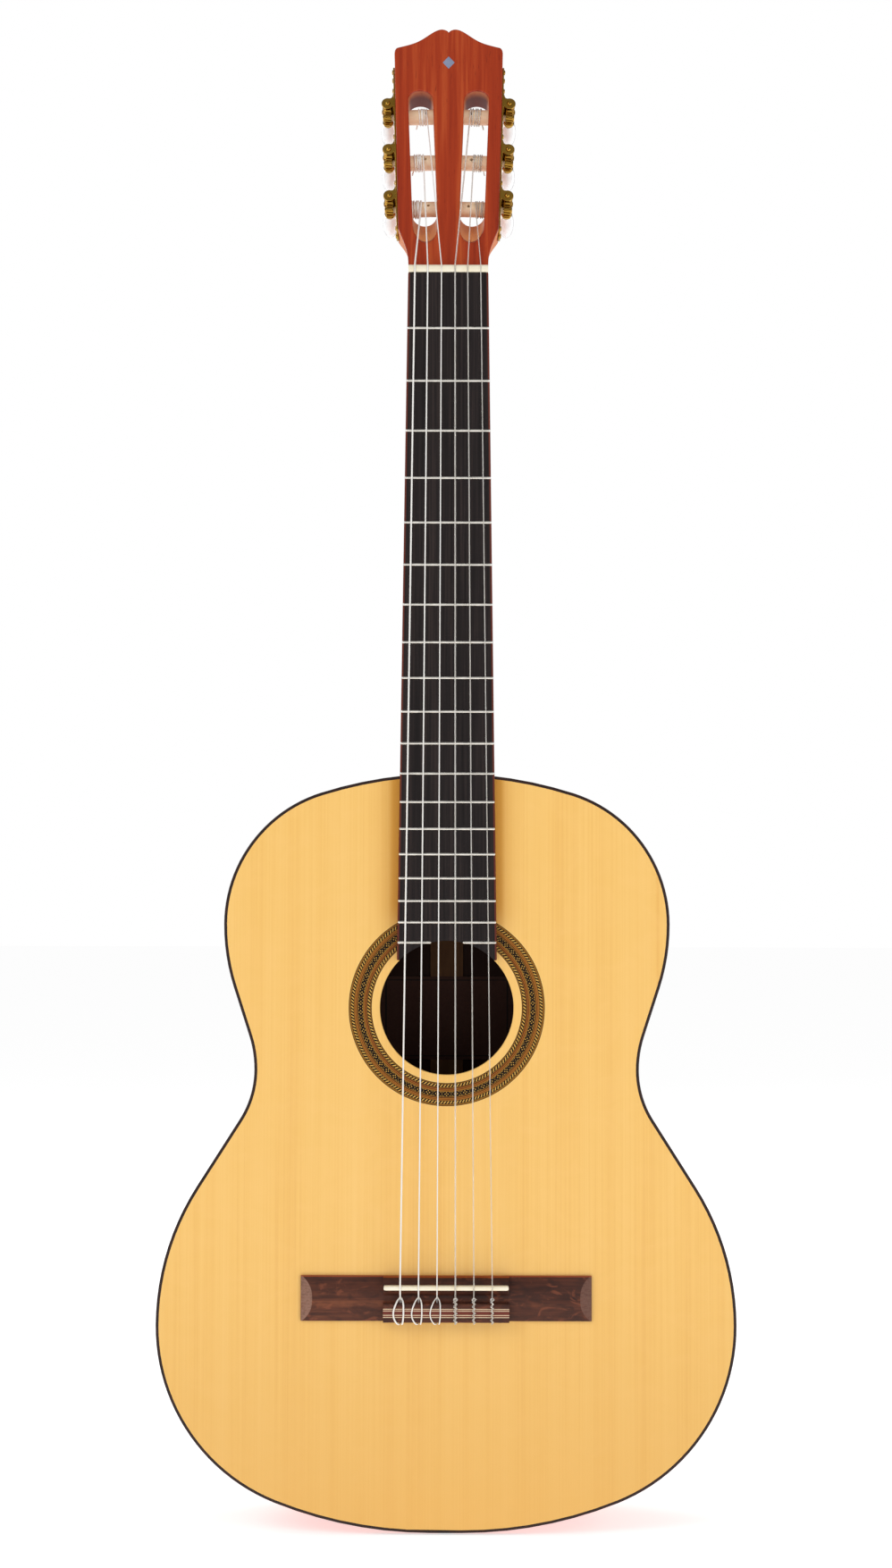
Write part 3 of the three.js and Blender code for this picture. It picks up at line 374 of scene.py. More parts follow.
class Paint:
    """A procedural material in the making. Values that are the same all over go on the shader itself."""

    def __init__(self, name, color=None, **uniform):
        self.made = bpy.data.materials.new(name)
        self.made.use_nodes = True
        self.tree = self.made.node_tree
        self.shader = self.tree.nodes["Principled BSDF"]
        if color is not None:
            self.shader.inputs["Base Color"].default_value = color
        for key, value in uniform.items():
            self.shader.inputs[key.replace("_", " ")].default_value = value

    def node(self, kind, props=None, **inputs):
        made = self.tree.nodes.new(kind)
        for key, value in (props or {}).items():
            setattr(made, key, value)
        for key, value in inputs.items():
            self.plug(made.inputs[int(key[1:]) if key[1:].isdigit() else key], value)
        return made

    def plug(self, socket, value):
        if isinstance(value, bpy.types.NodeSocket):
            self.tree.links.new(value, socket)
        elif isinstance(value, bpy.types.Node):
            self.tree.links.new(value.outputs[0], socket)
        else:
            socket.default_value = value

    def source(self, output):
        return self.node("ShaderNodeTexCoord").outputs[output]

    def scaled(self, where, scale):
        return self.node("ShaderNodeVectorMath", {"operation": "MULTIPLY"}, i0=where, i1=scale)

    def axes(self, vector):
        return self.node("ShaderNodeSeparateXYZ", i0=vector).outputs[:3]

    def millimetres(self):
        """Where a point is in the row's frame, as x, depth and height in millimetres."""
        return self.axes(self.scaled(self.source("Object"), (1000, 1000, 1000)))

    def math(self, operation, a, b=0.0, c=0.0):
        return self.node("ShaderNodeMath", {"operation": operation}, i0=a, i1=b, i2=c)

    def plus(self, a, b):
        return self.math("ADD", a, b)

    def minus(self, a, b):
        return self.math("SUBTRACT", a, b)

    def times(self, a, b):
        return self.math("MULTIPLY", a, b)

    def over(self, a, b):
        return self.math("GREATER_THAN", a, b)

    def under(self, a, b):
        return self.math("LESS_THAN", a, b)

    def size(self, a):
        return self.math("ABSOLUTE", a)

    def inside(self, value, low, high):
        return self.times(self.over(value, low), self.under(value, high))

    def noise(self, where, scale=1.0, detail=3.0, roughness=0.5, distortion=0.0):
        return self.node(
            "ShaderNodeTexNoise", Vector=where, Scale=scale, Detail=detail, Roughness=roughness, Distortion=distortion
        )

    def cloud(self, scale, detail=3.0, roughness=0.5, distortion=0.0):
        """Noise that goes with the object's place times scale."""
        return self.noise(self.scaled(self.source("Object"), scale), 1.0, detail, roughness, distortion)

    def between(self, value, low, high, to_low=0.0, to_high=1.0):
        """A smooth change from to_low to to_high while value goes from low to high."""
        made = self.node("ShaderNodeMapRange", {"interpolation_type": "SMOOTHSTEP"}, i0=value, i1=low, i2=high)
        made.inputs[3].default_value, made.inputs[4].default_value = to_low, to_high
        return made

    def ramp(self, value, stops, constant=False):
        made = self.node("ShaderNodeValToRGB", i0=value)
        made.color_ramp.interpolation = "CONSTANT" if constant else "LINEAR"
        elements = made.color_ramp.elements
        while len(elements) < len(stops):
            elements.new(0.5)
        for element, (position, _) in zip(elements, stops):
            element.position = position
        for element, (_, color) in zip(elements, stops):
            element.color = color
        return made

    def mix(self, share, a, b):
        made = self.node("ShaderNodeMix", {"data_type": "RGBA", "clamp_factor": True})
        for index, value in ((0, share), (6, a), (7, b)):
            self.plug(made.inputs[index], value)
        return made.outputs[2]

    def bump(self, height, depth, strength=1.0):
        made = self.node("ShaderNodeBump", Strength=strength, Distance=depth * 0.001, Height=height)
        self.plug(self.shader.inputs["Normal"], made)

    def done(self, color=None, roughness=None):
        if color is not None:
            self.plug(self.shader.inputs["Base Color"], color)
        if roughness is not None:
            self.plug(self.shader.inputs["Roughness"], roughness)
        return self.made


def wood(name, dark, middle, light, stretch, pore=None, source="Object", mirror=False, gloss=None, vein=0.5):
    """Wood with its grain along the axis whose stretch is smallest: broad streaks, fine lines and pores."""
    paint = Paint(name, **(gloss or {"Roughness": 0.5}))
    where = paint.source(source)
    if mirror:
        where = paint.node("ShaderNodeVectorMath", {"operation": "ABSOLUTE"}, i0=where)
    scaled = paint.scaled(where, stretch)
    fine = paint.noise(scaled, 1.0, 4, 0.6, 0.1)
    broad = paint.noise(scaled, 0.12, 3, 0.5, 0.15)
    both = paint.plus(paint.times(fine, 1 - vein), paint.times(broad, vein))
    color = paint.ramp(both, [(0.34, dark), (0.5, middle), (0.66, light)])
    height = fine
    if pore is not None:
        size, tone = pore
        spots = paint.noise(paint.scaled(scaled, size), 1, 2, 0.5)
        mask = paint.between(spots, 0.64, 0.78, 0.0, 0.55)
        color = paint.mix(mask, color, tone)
        height = paint.minus(fine, mask)
    paint.bump(height, 0.05, 0.4)
    return paint, color


GLOSSY = {"Roughness": 0.38, "Specular IOR Level": 0.2, "Coat Weight": 0.18, "Coat Roughness": 0.08}
SATIN = {"Roughness": 0.42, "Specular IOR Level": 0.35}


def spruce():
    """Lacquered spruce: close straight lines up the board, a painted shade of the fretboard as a deeper orange band
    either side of it, and a warmer tone low down.
    """
    paint = Paint("spruce_lacquer", Roughness=0.4, Specular_IOR_Level=0.3, Coat_Weight=0.2, Coat_Roughness=0.12)
    x, _, z = paint.axes(paint.scaled(paint.source("Object"), (1, 1, 1)))
    lines = paint.cloud((950, 60, 3.5), 3, 0.55, 0.1)
    bands = paint.cloud((75, 20, 1.6), 2, 0.5, 0.3)
    silk = paint.cloud((45, 20, 60), 3, 0.55, 1.2)
    tone = paint.plus(paint.times(lines, 0.5), paint.times(bands, 0.5))
    color = paint.ramp(tone, [(0.30, srgb(241, 186, 98)), (0.5, srgb(248, 198, 110)), (0.72, srgb(252, 205, 121))])
    color = paint.mix(paint.between(silk, 0.35, 0.75, 0.0, 0.2), color, srgb(255, 206, 126))
    # painted shade: a deeper orange band either side of the fretboard, above the hole, stands in for the fretboard's
    # shadow on the top
    side = paint.size(x)
    board_shade_painted = paint.plus(paint.between(side, 0.034, 0.038, 0.4, 0.0),
                            paint.between(side, 0.031, 0.052, 0.45, 0.0))
    above_hole = paint.between(z, 0.372, 0.40)
    color = paint.mix(paint.times(board_shade_painted, above_hole), color, srgb(218, 148, 36))
    low = paint.between(z, 0.22, 0.0, 0.0, 0.5)
    color = paint.mix(low, color, srgb(230, 178, 92))
    paint.bump(lines, 0.03, 0.25)
    return paint.done(color)


def rosette_mosaic():
    """Rings of dyed wood lines, two rope bands and a row of pale diamonds, set out around the sound hole."""
    paint = Paint("rosette_mosaic", Roughness=0.45, Specular_IOR_Level=0.12, Coat_Weight=0.06, Coat_Roughness=0.12)
    x, _, z = paint.millimetres()
    up = paint.minus(z, HOLE_Y)
    square = paint.plus(paint.times(x, x), paint.times(up, up))
    radius = paint.math("SQRT", square)
    turn = paint.math("DIVIDE", paint.math("ARCTAN2", up, x), 2 * math.pi)
    black, brown, tan = srgb(18, 8, 4), srgb(108, 56, 18), srgb(182, 124, 44)
    red, cream = srgb(112, 50, 18), srgb(212, 166, 78)
    bands = [
        (48.0, black), (48.55, tan), (48.8, black), (50.95, tan), (51.2, black), (51.45, red), (51.95, tan),
        (52.2, red), (52.75, tan), (53.0, black), (53.2, tan), (53.45, black), (56.85, tan), (57.1, black),
        (57.3, brown), (57.8, tan), (58.1, red), (58.6, tan), (58.85, brown), (59.15, tan), (59.35, black),
        (61.55, tan), (61.8, black), (62.05, tan), (62.35, black),
    ]
    low, span = 48.0, 15.0
    ground = paint.ramp(paint.math("DIVIDE", paint.minus(radius, low), span),
                        [((r - low) / span, c) for r, c in bands], constant=True)

    for r0, r1, count in ((48.85, 50.9, 150), (59.4, 61.5, 190)):
        across = paint.math("DIVIDE", paint.minus(radius, r0), r1 - r0)
        slant = paint.math("FRACT", paint.plus(paint.times(turn, count), paint.times(across, 0.8)))
        dash = paint.times(paint.inside(slant, 0.12, 0.55), paint.inside(across, 0.12, 0.88))
        ground = paint.mix(dash, ground, cream)
    count = 58
    cell = paint.minus(paint.math("FRACT", paint.times(turn, count)), 0.5)
    along = paint.size(paint.times(cell, 5.97))
    across = paint.size(paint.minus(radius, 55.15))
    row = paint.inside(radius, 53.6, 56.7)
    for a, b, size in ((0.95, 0.0, 0.42), (0.0, 0.95, 0.42), (2.4, 1.15, 0.3), (2.98, 0.0, 0.28), (1.7, 1.3, 0.2)):
        away = paint.plus(paint.size(paint.minus(along, a)),
                          paint.size(paint.minus(across, b)))
        dot = paint.times(paint.under(away, size), row)
        ground = paint.mix(dot, ground, cream)
    return paint.done(ground)


STAINED = (srgb(128, 30, 8), srgb(168, 56, 20), srgb(206, 96, 46), srgb(100, 22, 6))
NATURAL = (srgb(172, 84, 42), srgb(204, 114, 62), srgb(222, 142, 88), srgb(140, 62, 32))


def mahogany(name, source="Object", stretch=(300, 300, 8), mirror=False, seam_and_inner_shade_painted=False, tones=None, gloss=GLOSSY,
             slot_shade_and_light_painted=False):
    dark, middle, light, pore = tones or STAINED
    paint, color = wood(name, dark, middle, light, stretch, ((5.0, 5.0, 14.0), pore), source, mirror, gloss, 0.62)
    if slot_shade_and_light_painted:  # painted shade and light: the far end wall of each slot, deep under the face, is painted dark as in shade, and the upward-facing ramp by the nut is painted pale as lit
        facing = paint.axes(paint.source("Normal"))[2]
        _, y, z = paint.millimetres()
        out = paint.math("MULTIPLY_ADD", y, math.cos(HEAD_TILT), HEAD_FACE * math.cos(HEAD_TILT))
        up = paint.times(paint.minus(z, NUT_Y), math.sin(HEAD_TILT))
        deep = paint.between(paint.minus(out, up), 2.0, 10.0, 0.3, 1.0)
        end = paint.times(paint.between(facing, -0.2, -0.7), paint.over(z, 900))
        color = paint.mix(paint.times(end, deep), color, srgb(106, 46, 36))
        # painted light: the ramp by the nut, facing up, is lightened as if lit
        ramp = paint.times(paint.between(facing, 0.3, 0.55), paint.under(z, 870))
        color = paint.mix(paint.times(ramp, 0.7), color, srgb(244, 166, 106))
    if seam_and_inner_shade_painted:
        x = paint.size(paint.millimetres()[0])
        color = paint.mix(paint.under(x, 1.1), color, srgb(34, 16, 10))
        # painted shade: the back's inside face, turned towards the top, is darkened and dulled for the shade inside
        # the body; the thin dark line along the middle is the back's joint
        facing = paint.axes(paint.source("Normal"))[1]
        inner = paint.under(facing, -0.5)
        color = paint.mix(inner, color, srgb(46, 24, 16))
        paint.plug(paint.shader.inputs["Coat Weight"], paint.between(inner, 0.0, 1.0, gloss["Coat Weight"], 0.0))
        paint.plug(paint.shader.inputs["Specular IOR Level"],
                   paint.between(inner, 0.0, 1.0, gloss["Specular IOR Level"], 0.05))
    return paint.done(color)


def raw_wood(name, dark, light, stretch):
    paint, color = wood(name, dark, [lerp(a, b, 0.5) for a, b in zip(dark, light)], light, stretch,
                        gloss={"Roughness": 0.75, "Specular IOR Level": 0.15})
    return paint.done(color)


def binding():
    paint = Paint("dark_binding", **SATIN)
    grain = paint.cloud((260, 260, 260), 3, 0.6)
    return paint.done(paint.ramp(grain, [(0.3, srgb(22, 9, 6)), (0.7, srgb(52, 24, 16))]))


def rosewood():
    """The bridge's rosewood: dark figure along its length, painted light on the wall towards the hole and on the end
    facets, the left facet lit more than the right, lines in the tie block.
    """
    paint, color = wood(
        "bridge_rosewood", srgb(44, 20, 13), srgb(84, 44, 30), srgb(136, 78, 50), (14, 330, 330),
        ((3.0, 1.4, 1.4), srgb(36, 18, 14)), gloss={"Roughness": 0.46, "Specular IOR Level": 0.25}, vein=0.6,
    )
    clouds = paint.cloud((42, 60, 90), 3, 0.5, 1.6)
    color = paint.mix(paint.between(clouds, 0.42, 0.7, 0.0, 0.65), color, srgb(46, 25, 20))
    warm = paint.cloud((58, 80, 120), 3, 0.55, 2.2)
    color = paint.mix(paint.between(warm, 0.54, 0.7, 0.0, 0.45), color, srgb(142, 78, 52))
    x, depth, z = paint.millimetres()
    height = paint.times(depth, -1.0)
    # painted light: the end facets are lightened as if caught by a grazing light, the left one more than the right as
    # the light comes from the left
    facet_patches = paint.cloud((300, 900, 900), 3, 0.6)
    facet = paint.math("MULTIPLY_ADD", paint.minus(height, TOP_Z + 1.5), 2.28, paint.size(x))
    facet = paint.times(paint.between(facet, BRIDGE_HALF - 0.3, BRIDGE_HALF - 0.1), paint.over(height, TOP_Z + 1.6))
    facet = paint.times(facet, paint.between(facet_patches, 0.3, 0.6, 0.55, 1.0))
    facet_light_painted = paint.mix(paint.over(x, 0.0), srgb(144, 108, 92), srgb(112, 78, 66))
    color = paint.mix(facet, color, facet_light_painted)
    # painted light: the bridge's wall towards the hole is painted a lighter orange-brown as if lit from above
    hole_side_light_painted = paint.between(z, BRIDGE_HIGH - 0.9, BRIDGE_HIGH - 0.5)
    color = paint.mix(paint.times(hole_side_light_painted, 0.6), color, srgb(178, 78, 30))
    on_block = paint.times(paint.under(paint.size(x), 39.95),
                          paint.over(height, BRIDGE_TOP - 1.2))
    line = srgb(226, 204, 170)
    for low, high, tone in ((136.9, 142.4, srgb(112, 50, 38)), (136.9, 137.35, line), (138.2, 138.65, line),
                            (140.9, 141.35, line), (142.0, 142.45, line)):
        color = paint.mix(paint.times(paint.inside(z, low, high), on_block), color, tone)
    return paint.done(color)


def fretboard_wood():
    """Near-black board with fine vertical grain, and a red-brown edge where the stain has worn."""
    paint, color = wood(
        "fretboard_rosewood", srgb(22, 18, 18), srgb(36, 30, 30), srgb(54, 44, 42), (620, 620, 9),
        ((1.7, 1.7, 4.0), srgb(12, 10, 10)), gloss={"Roughness": 0.55, "Specular IOR Level": 0.15}, vein=0.35,
    )
    x, _, z = paint.millimetres()
    slope = (BOARD_WIDTHS[1] - BOARD_WIDTHS[0]) / 2 / BOARD_LENGTH
    half = paint.math("MULTIPLY_ADD", paint.minus(NUT_Y, z), slope, BOARD_WIDTHS[0] / 2)
    from_edge = paint.minus(half, paint.size(x))
    edge = paint.between(from_edge, 1.5, 0.7)
    return paint.done(paint.mix(edge, color, srgb(104, 48, 36)))


def metal(name, low, high, rough=0.25, grain=180.0):
    paint = Paint(name, Metallic=1.0)
    smudge = paint.cloud((grain, grain, grain), 3, 0.6)
    color = paint.ramp(smudge, [(0.3, low), (0.7, high)])
    return paint.done(color, paint.between(smudge, 0.3, 0.7, rough * 0.7, rough * 1.3))


def wound_metal():
    """Silver winding wire, close turns along the string."""
    paint = Paint("wound_silver", Metallic=0.12, Roughness=0.4)
    along = paint.axes(paint.source("UV"))[1]
    turns = paint.math("PINGPONG", along, 0.00019)
    height = paint.between(turns, 0.0, 0.00019)
    paint.bump(height, 0.05, 0.5)
    return paint.done(paint.ramp(height, [(0.0, srgb(226, 220, 212)), (0.5, srgb(255, 254, 250))]))


def nylon():
    paint = Paint("clear_nylon", Roughness=0.15, Transmission_Weight=0.6, IOR=1.2)
    haze = paint.cloud((300, 300, 40), 2)
    return paint.done(paint.ramp(haze, [(0.3, srgb(240, 236, 228)), (0.7, srgb(252, 250, 246))]))


def bone(name, low, high, rough=0.36):
    paint = Paint(name, Roughness=rough)
    cloud = paint.cloud((70, 240, 60), 4, 0.6, 0.5)
    paint.bump(cloud, 0.03, 0.3)
    return paint.done(paint.ramp(cloud, [(0.3, low), (0.7, high)]))


def pearl():
    """Moulded pearl plastic with slow cloudy swirls."""
    paint = Paint("pearl_plastic", Roughness=0.25, Coat_Weight=0.3, Coat_Roughness=0.06)
    swirl = paint.cloud((70, 70, 70), 2, 0.5, 1.2)
    stops = [(0.32, srgb(238, 236, 238)), (0.5, srgb(248, 247, 248)), (0.7, srgb(255, 255, 255))]
    return paint.done(paint.ramp(swirl, stops))


def paper():
    paint = Paint("label_paper_shade_painted", Roughness=0.85)
    fibre = paint.cloud((900, 900, 900), 3, 0.6)
    x, _, z = paint.millimetres()
    # painted shade: the label's paper is given dark brown tones for the shade inside the body; the thin darker frame
    # is its print
    color = paint.ramp(fibre, [(0.3, srgb(66, 36, 26)), (0.7, srgb(76, 44, 32))])
    rim = paint.math("MAXIMUM", paint.math("DIVIDE", paint.size(x), LABEL_HALF_WIDTH),
                     paint.math("DIVIDE", paint.size(paint.minus(z, LABEL_Y)), LABEL_HALF_HEIGHT))
    return paint.done(paint.mix(paint.inside(rim, 0.90, 0.925), color, srgb(36, 20, 14)))


BRIDGE_LOW, BRIDGE_HIGH = front_box("bridge")[0].y, front_box("bridge")[1].y
BRIDGE_TOP = front_box("bridge")[1].z
BRIDGE_HALF = 92.5
BLOCK_HALF = 40
BLOCK_HIGH = 145.6  # the tie block's edge towards the saddle
LABEL_Y = 322.0
LABEL_HALF_WIDTH, LABEL_HALF_HEIGHT = 45, 28

SPRUCE = spruce()
MOSAIC = rosette_mosaic()
MAHOGANY = mahogany("mahogany_lacquer", stretch=(300, 8, 8))
NECK_WOOD = mahogany("neck_mahogany", tones=NATURAL, gloss={"Roughness": 0.5, "Specular IOR Level": 0.25},
                     slot_shade_and_light_painted=True)
MAHOGANY_SIDE = mahogany("mahogany_side", source="UV", stretch=(8, 300, 300))
MAHOGANY_BACK = mahogany("mahogany_back", stretch=(260, 260, 7), mirror=True, seam_and_inner_shade_painted=True)
# painted shade: the bare braces, linings and blocks inside the body get dark tones that stand in for the shade inside
# the sound box
RAW_MAHOGANY_SHADE_PAINTED = raw_wood("raw_mahogany_shade_painted", srgb(84, 42, 28), srgb(116, 62, 40), (300, 300, 40))
RAW_SPRUCE_SHADE_PAINTED = raw_wood("raw_spruce_shade_painted", srgb(84, 54, 34), srgb(110, 76, 48), (300, 300, 40))
BINDING = binding()
ROSEWOOD = rosewood()
FRETBOARD = fretboard_wood()
FRET_SILVER = metal("fret_silver", srgb(214, 210, 202), srgb(246, 242, 234), 0.3)
GOLD = metal("gilt_brass", srgb(158, 118, 44), srgb(184, 144, 62), 0.17, 60.0)
WOUND = wound_metal()
NYLON = nylon()
BONE = bone("bone", srgb(246, 234, 204), srgb(254, 248, 228))
ROLLER_IVORY = bone("roller_plastic", srgb(238, 208, 172), srgb(246, 220, 186), 0.4)
PEARL = pearl()
PAPER_SHADE_PAINTED = paper()
EMBLEM = bone("emblem_shell", srgb(112, 122, 150), srgb(140, 150, 176), 0.3)

for material, nodes in (
    (RAW_MAHOGANY_SHADE_PAINTED, ("bass_top_lining", "treble_top_lining", "bass_back_lining", "treble_back_lining", "heel_block",
                    "tail_block")),
    (RAW_SPRUCE_SHADE_PAINTED, ("upper_harmonic_bar", "lower_harmonic_bar", "fan_braces", "back_center_strip", "back_brace_1",
                  "back_brace_2", "back_brace_3")),
):
    for node in nodes:
        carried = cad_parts[node]
        carried.data.materials.clear()
        carried.data.materials.append(material)


# ---- Body ------------------------------------------------------------------------------------------------


def around_outline(name, section, material, slot, replaces, surface=None):
    """A closed strip around the whole body. The section is (inset, height) steps; surface lifts them."""
    rows = [full_outline(inset) for inset, _ in section]
    rings = []
    for i in range(len(rows[0])):
        ring = []
        for (_, height), row in zip(section, rows):
            x, y = row[i]
            ring.append((x, y, height + (surface(x, y) if surface else 0)))
        rings.append(ring)
    obj = loft(name, rings, loop=True)
    return finish_piece(obj, material, slot, replaces, angle=50)


def soundboard():
    hole = circle(HOLE_RADIUS, 144, 0, HOLE_Y, -math.pi / 2)
    obj = sheet_with_hole("spruce_top", full_outline(EDGE)[:-1], hole, HOLE_Y, TOP_Z - PLATE, TOP_Z)
    at_hole = Vector((0, HOLE_Y, TOP_Z))
    soften(obj, 0.5, 3, lambda p: abs(p.z - TOP_Z) < 0.01 and (p - at_hole).length < HOLE_RADIUS + 0.2)
    finish_piece(obj, SPRUCE, "soundboard_spruce", ["soundboard"], 12)
    ring = [(48.1, -0.3), (48.1, 0.0), (48.14, 0.03), (62.76, 0.03), (62.8, 0.0), (62.8, -0.3)]
    rings = [
        [(r * math.cos(a), HOLE_Y + r * math.sin(a), TOP_Z + h) for r, h in ring]
        for a in angles(0, 2 * math.pi, 180)[:-1]
    ]
    finish_piece(loft("rosette_ring", rings, loop=True), MOSAIC, "mosaic", ["rosette"], 60)


def back():
    edge = full_outline(EDGE)
    middle = BODY_LENGTH / 2
    shares = [1, 0.9, 0.75, 0.6, 0.45, 0.3, 0.15, 0.02]
    rings = []
    for share, height in [(s, 0) for s in shares[::-1]] + [(s, PLATE) for s in shares]:
        ring = [(x * share, middle + (y - middle) * share) for x, y in edge]
        rings.append([(x, y, back_surface(x, y) + height) for x, y in ring])
    finish_piece(loft("back_wood", rings), MAHOGANY_BACK, "mahogany", ["back_plate"], 50)


def side(name, sign, node):
    outer, inner = half_outline(0), half_outline(EDGE)
    keep = [i for i, (x, y) in enumerate(outer) if x > GRAFT_HALF + 0.3 or y > 100]
    low, high = BINDING_HEIGHT, TOP_Z - BINDING_HEIGHT
    rings, uvs, run = [], [], 0.0
    for n, i in enumerate(keep):
        (x, y), (u, v) = outer[i], inner[i]
        ring = [(sign * x, y, back_surface(x, y) + low), (sign * x, y, high),
                (sign * u, v, high), (sign * u, v, back_surface(u, v) + low)]
        if n:
            run += math.dist(outer[i], outer[keep[n - 1]])
        else:  # the end beside the graft
            rings.append([(sign * (GRAFT_HALF + 0.02), py, pz) for _, py, pz in ring])
            uvs += [(-0.006, pz * 0.001) for _, _, pz in ring]
        rings.append(ring)
        uvs += [(run * 0.001, pz * 0.001) for _, _, pz in ring]
    obj = loft(name, rings, uvs=uvs)
    finish_piece(obj, MAHOGANY_SIDE, "mahogany", [node], 50)


def body():
    soundboard()
    back()
    side("side_bass", -1, "bass_side")
    side("side_treble", 1, "treble_side")
    low = TOP_Z - BINDING_HEIGHT
    rim = [(0, low), (0, TOP_Z - 0.9), (0.12, TOP_Z - 0.45), (0.45, TOP_Z - 0.12), (0.9, TOP_Z), (EDGE, TOP_Z),
           (EDGE, low)]
    around_outline("binding_top", rim, BINDING, "binding", ["top_binding"])
    rim = [(0, BINDING_HEIGHT), (0, 0.9), (0.12, 0.45), (0.45, 0.12), (0.9, 0.0), (EDGE, 0.0),
           (EDGE, BINDING_HEIGHT)]
    around_outline("binding_back", rim, BINDING, "binding", ["back_binding"], back_surface)
    strip = [(-GRAFT_HALF, 0), (GRAFT_HALF, 0), (GRAFT_HALF, EDGE), (-GRAFT_HALF, EDGE)]
    graft = prism("tail_graft", strip, BACK_Z + BINDING_HEIGHT, low)
    finish_piece(graft, BINDING, "binding", ["end_graft"])


def label():
    """A blank paper label inside, over the centre strip."""
    strip_high = front_box("back_center_strip")[1]
    rise = strip_high.z - (back_surface(0, strip_high.y) + PLATE)
    low, high = LABEL_Y - LABEL_HALF_HEIGHT, LABEL_Y + LABEL_HALF_HEIGHT
    rings = []
    for i in range(25):
        x = -LABEL_HALF_WIDTH + 2 * LABEL_HALF_WIDTH * i / 24
        lift = 0.35 + rise * ease(unit((24 - abs(x)) / 12))
        z0, z1 = (back_surface(x, y) + PLATE + lift for y in (low, high))
        rings.append([(x, low, z0), (x, high, z1), (x, high, z1 + 0.15), (x, low, z0 + 0.15)])
    finish_piece(loft("label_blank", rings), PAPER_SHADE_PAINTED, "inner_spruce", angle=30)


# ---- Neck and head -----------------------------------------------------------------------------------------


def half_board(y):
    share = (NUT_Y - y) / BOARD_LENGTH
    return lerp(BOARD_WIDTHS[0], BOARD_WIDTHS[1], share) / 2


HEEL_LOW = back_surface(0, BODY_LENGTH) + HEEL_CAP
HEEL_HIGH = TOP_Z - 6


def head_face(y):
    return HEAD_FACE - (y - NUT_Y) * math.tan(HEAD_TILT)


def neck_depth(y):
    """How deep the shaft's round back lies under the fretboard, running into the head's flat back."""
    depth = lerp(15.5, 18, unit((NUT_Y - y) / 320))
    head_back = TOP_Z - (head_face(y) - HEAD_THICKNESS / math.cos(HEAD_TILT)) - 0.3
    return lerp(depth, head_back, ease(unit((y - NUT_Y + 24) / 42)))


def heel_keel(y):
    over = (y - BODY_LENGTH - HEEL_REACH) / HEEL_SWEEP
    return lerp(HEEL_LOW, HEEL_HIGH, max(over, 0.0) ** 0.25)


def neck_section(y, steps=22):
    """Half of the neck's section at y: (x, z) from the fretboard's edge round to the keel."""
    top = min(TOP_Z, head_face(y) - VENEER - 2)
    shaft, heel = TOP_Z - neck_depth(y), heel_keel(y)
    fillet = 5.0
    raw = min(shaft, heel)
    keel = raw
    if y <= NUT_Y - 150:
        keel = max(HEEL_LOW, -fillet * math.log(math.exp(-shaft / fillet) + math.exp(-heel / fillet)))
    section = []
    for i in range(steps + 1):
        z = top - (top - keel) * math.sin(math.pi / 2 * i / steps)
        level = top - (top - z) * (top - raw) / (top - keel)
        across = min(1.0, (top - level) / max(top - shaft, 1e-6))
        board = half_board(y) if y < NUT_Y else BOARD_WIDTHS[0] / 2 - 0.1
        boxy = lerp(3.0, 10.0, ease(unit((y - NUT_Y + 12) / 29)))
        round_x = board * max(0.0, 1 - across ** boxy) ** 0.5
        heel_x = 0.0
        if y < BODY_LENGTH + 80:
            share = unit((level - HEEL_LOW) / (HEEL_HIGH - HEEL_LOW))
            width = lerp(HEEL_HALF, half_board(BODY_LENGTH) - 1, share ** 0.8)
            reach = lerp(HEEL_REACH, HEEL_REACH + HEEL_SWEEP, share ** 4)
            out = (y - BODY_LENGTH) / reach
            heel_x = width * max(0.0, 1 - max(out, 0.0) ** 2.4) ** 0.5
        x = min(board, (round_x ** 5 + heel_x ** 5) ** 0.2)
        section.append((0.0 if i == steps and y > BODY_LENGTH + HEEL_REACH else x, z))
    return section


def neck_shaft():
    places = [NUT_Y + 17 - 42 * i / 14 for i in range(15)]
    places += [NUT_Y - 25 - (NUT_Y - 25 - 562) * i / 20 for i in range(1, 21)]
    heel_front = BODY_LENGTH + HEEL_REACH
    curve = [heel_front + HEEL_SWEEP * (1 - i / 30) ** 4 for i in range(31)]
    places += [y for y in curve if y < 561]
    places += [heel_front - 31 * i / 8 for i in range(1, 9)]
    rings = []
    for y in places:
        half = neck_section(y)
        right = [(x, y, z) for x, z in half]
        left = [(-x, y, z) for x, z in half[::-1]]
        if half[-1][0] == 0.0:
            left = left[1:]
            right = right[:-1] + [(0.0, y, half[-1][1])]
            left = [right[-1]] + left
        rings.append(right + left)
    obj = loft("neck_wood", rings)
    return cut(obj, prism("body_space", full_outline(0), -99, 99))


def bezier(a, b, c, d, steps=10):
    points = []
    for i in range(steps):
        t = i / steps
        weights = ((1 - t) ** 3, 3 * t * (1 - t) ** 2, 3 * t * t * (1 - t), t ** 3)
        points.append(tuple(sum(w * p[k] for w, p in zip(weights, (a, b, c, d))) for k in (0, 1)))
    return points


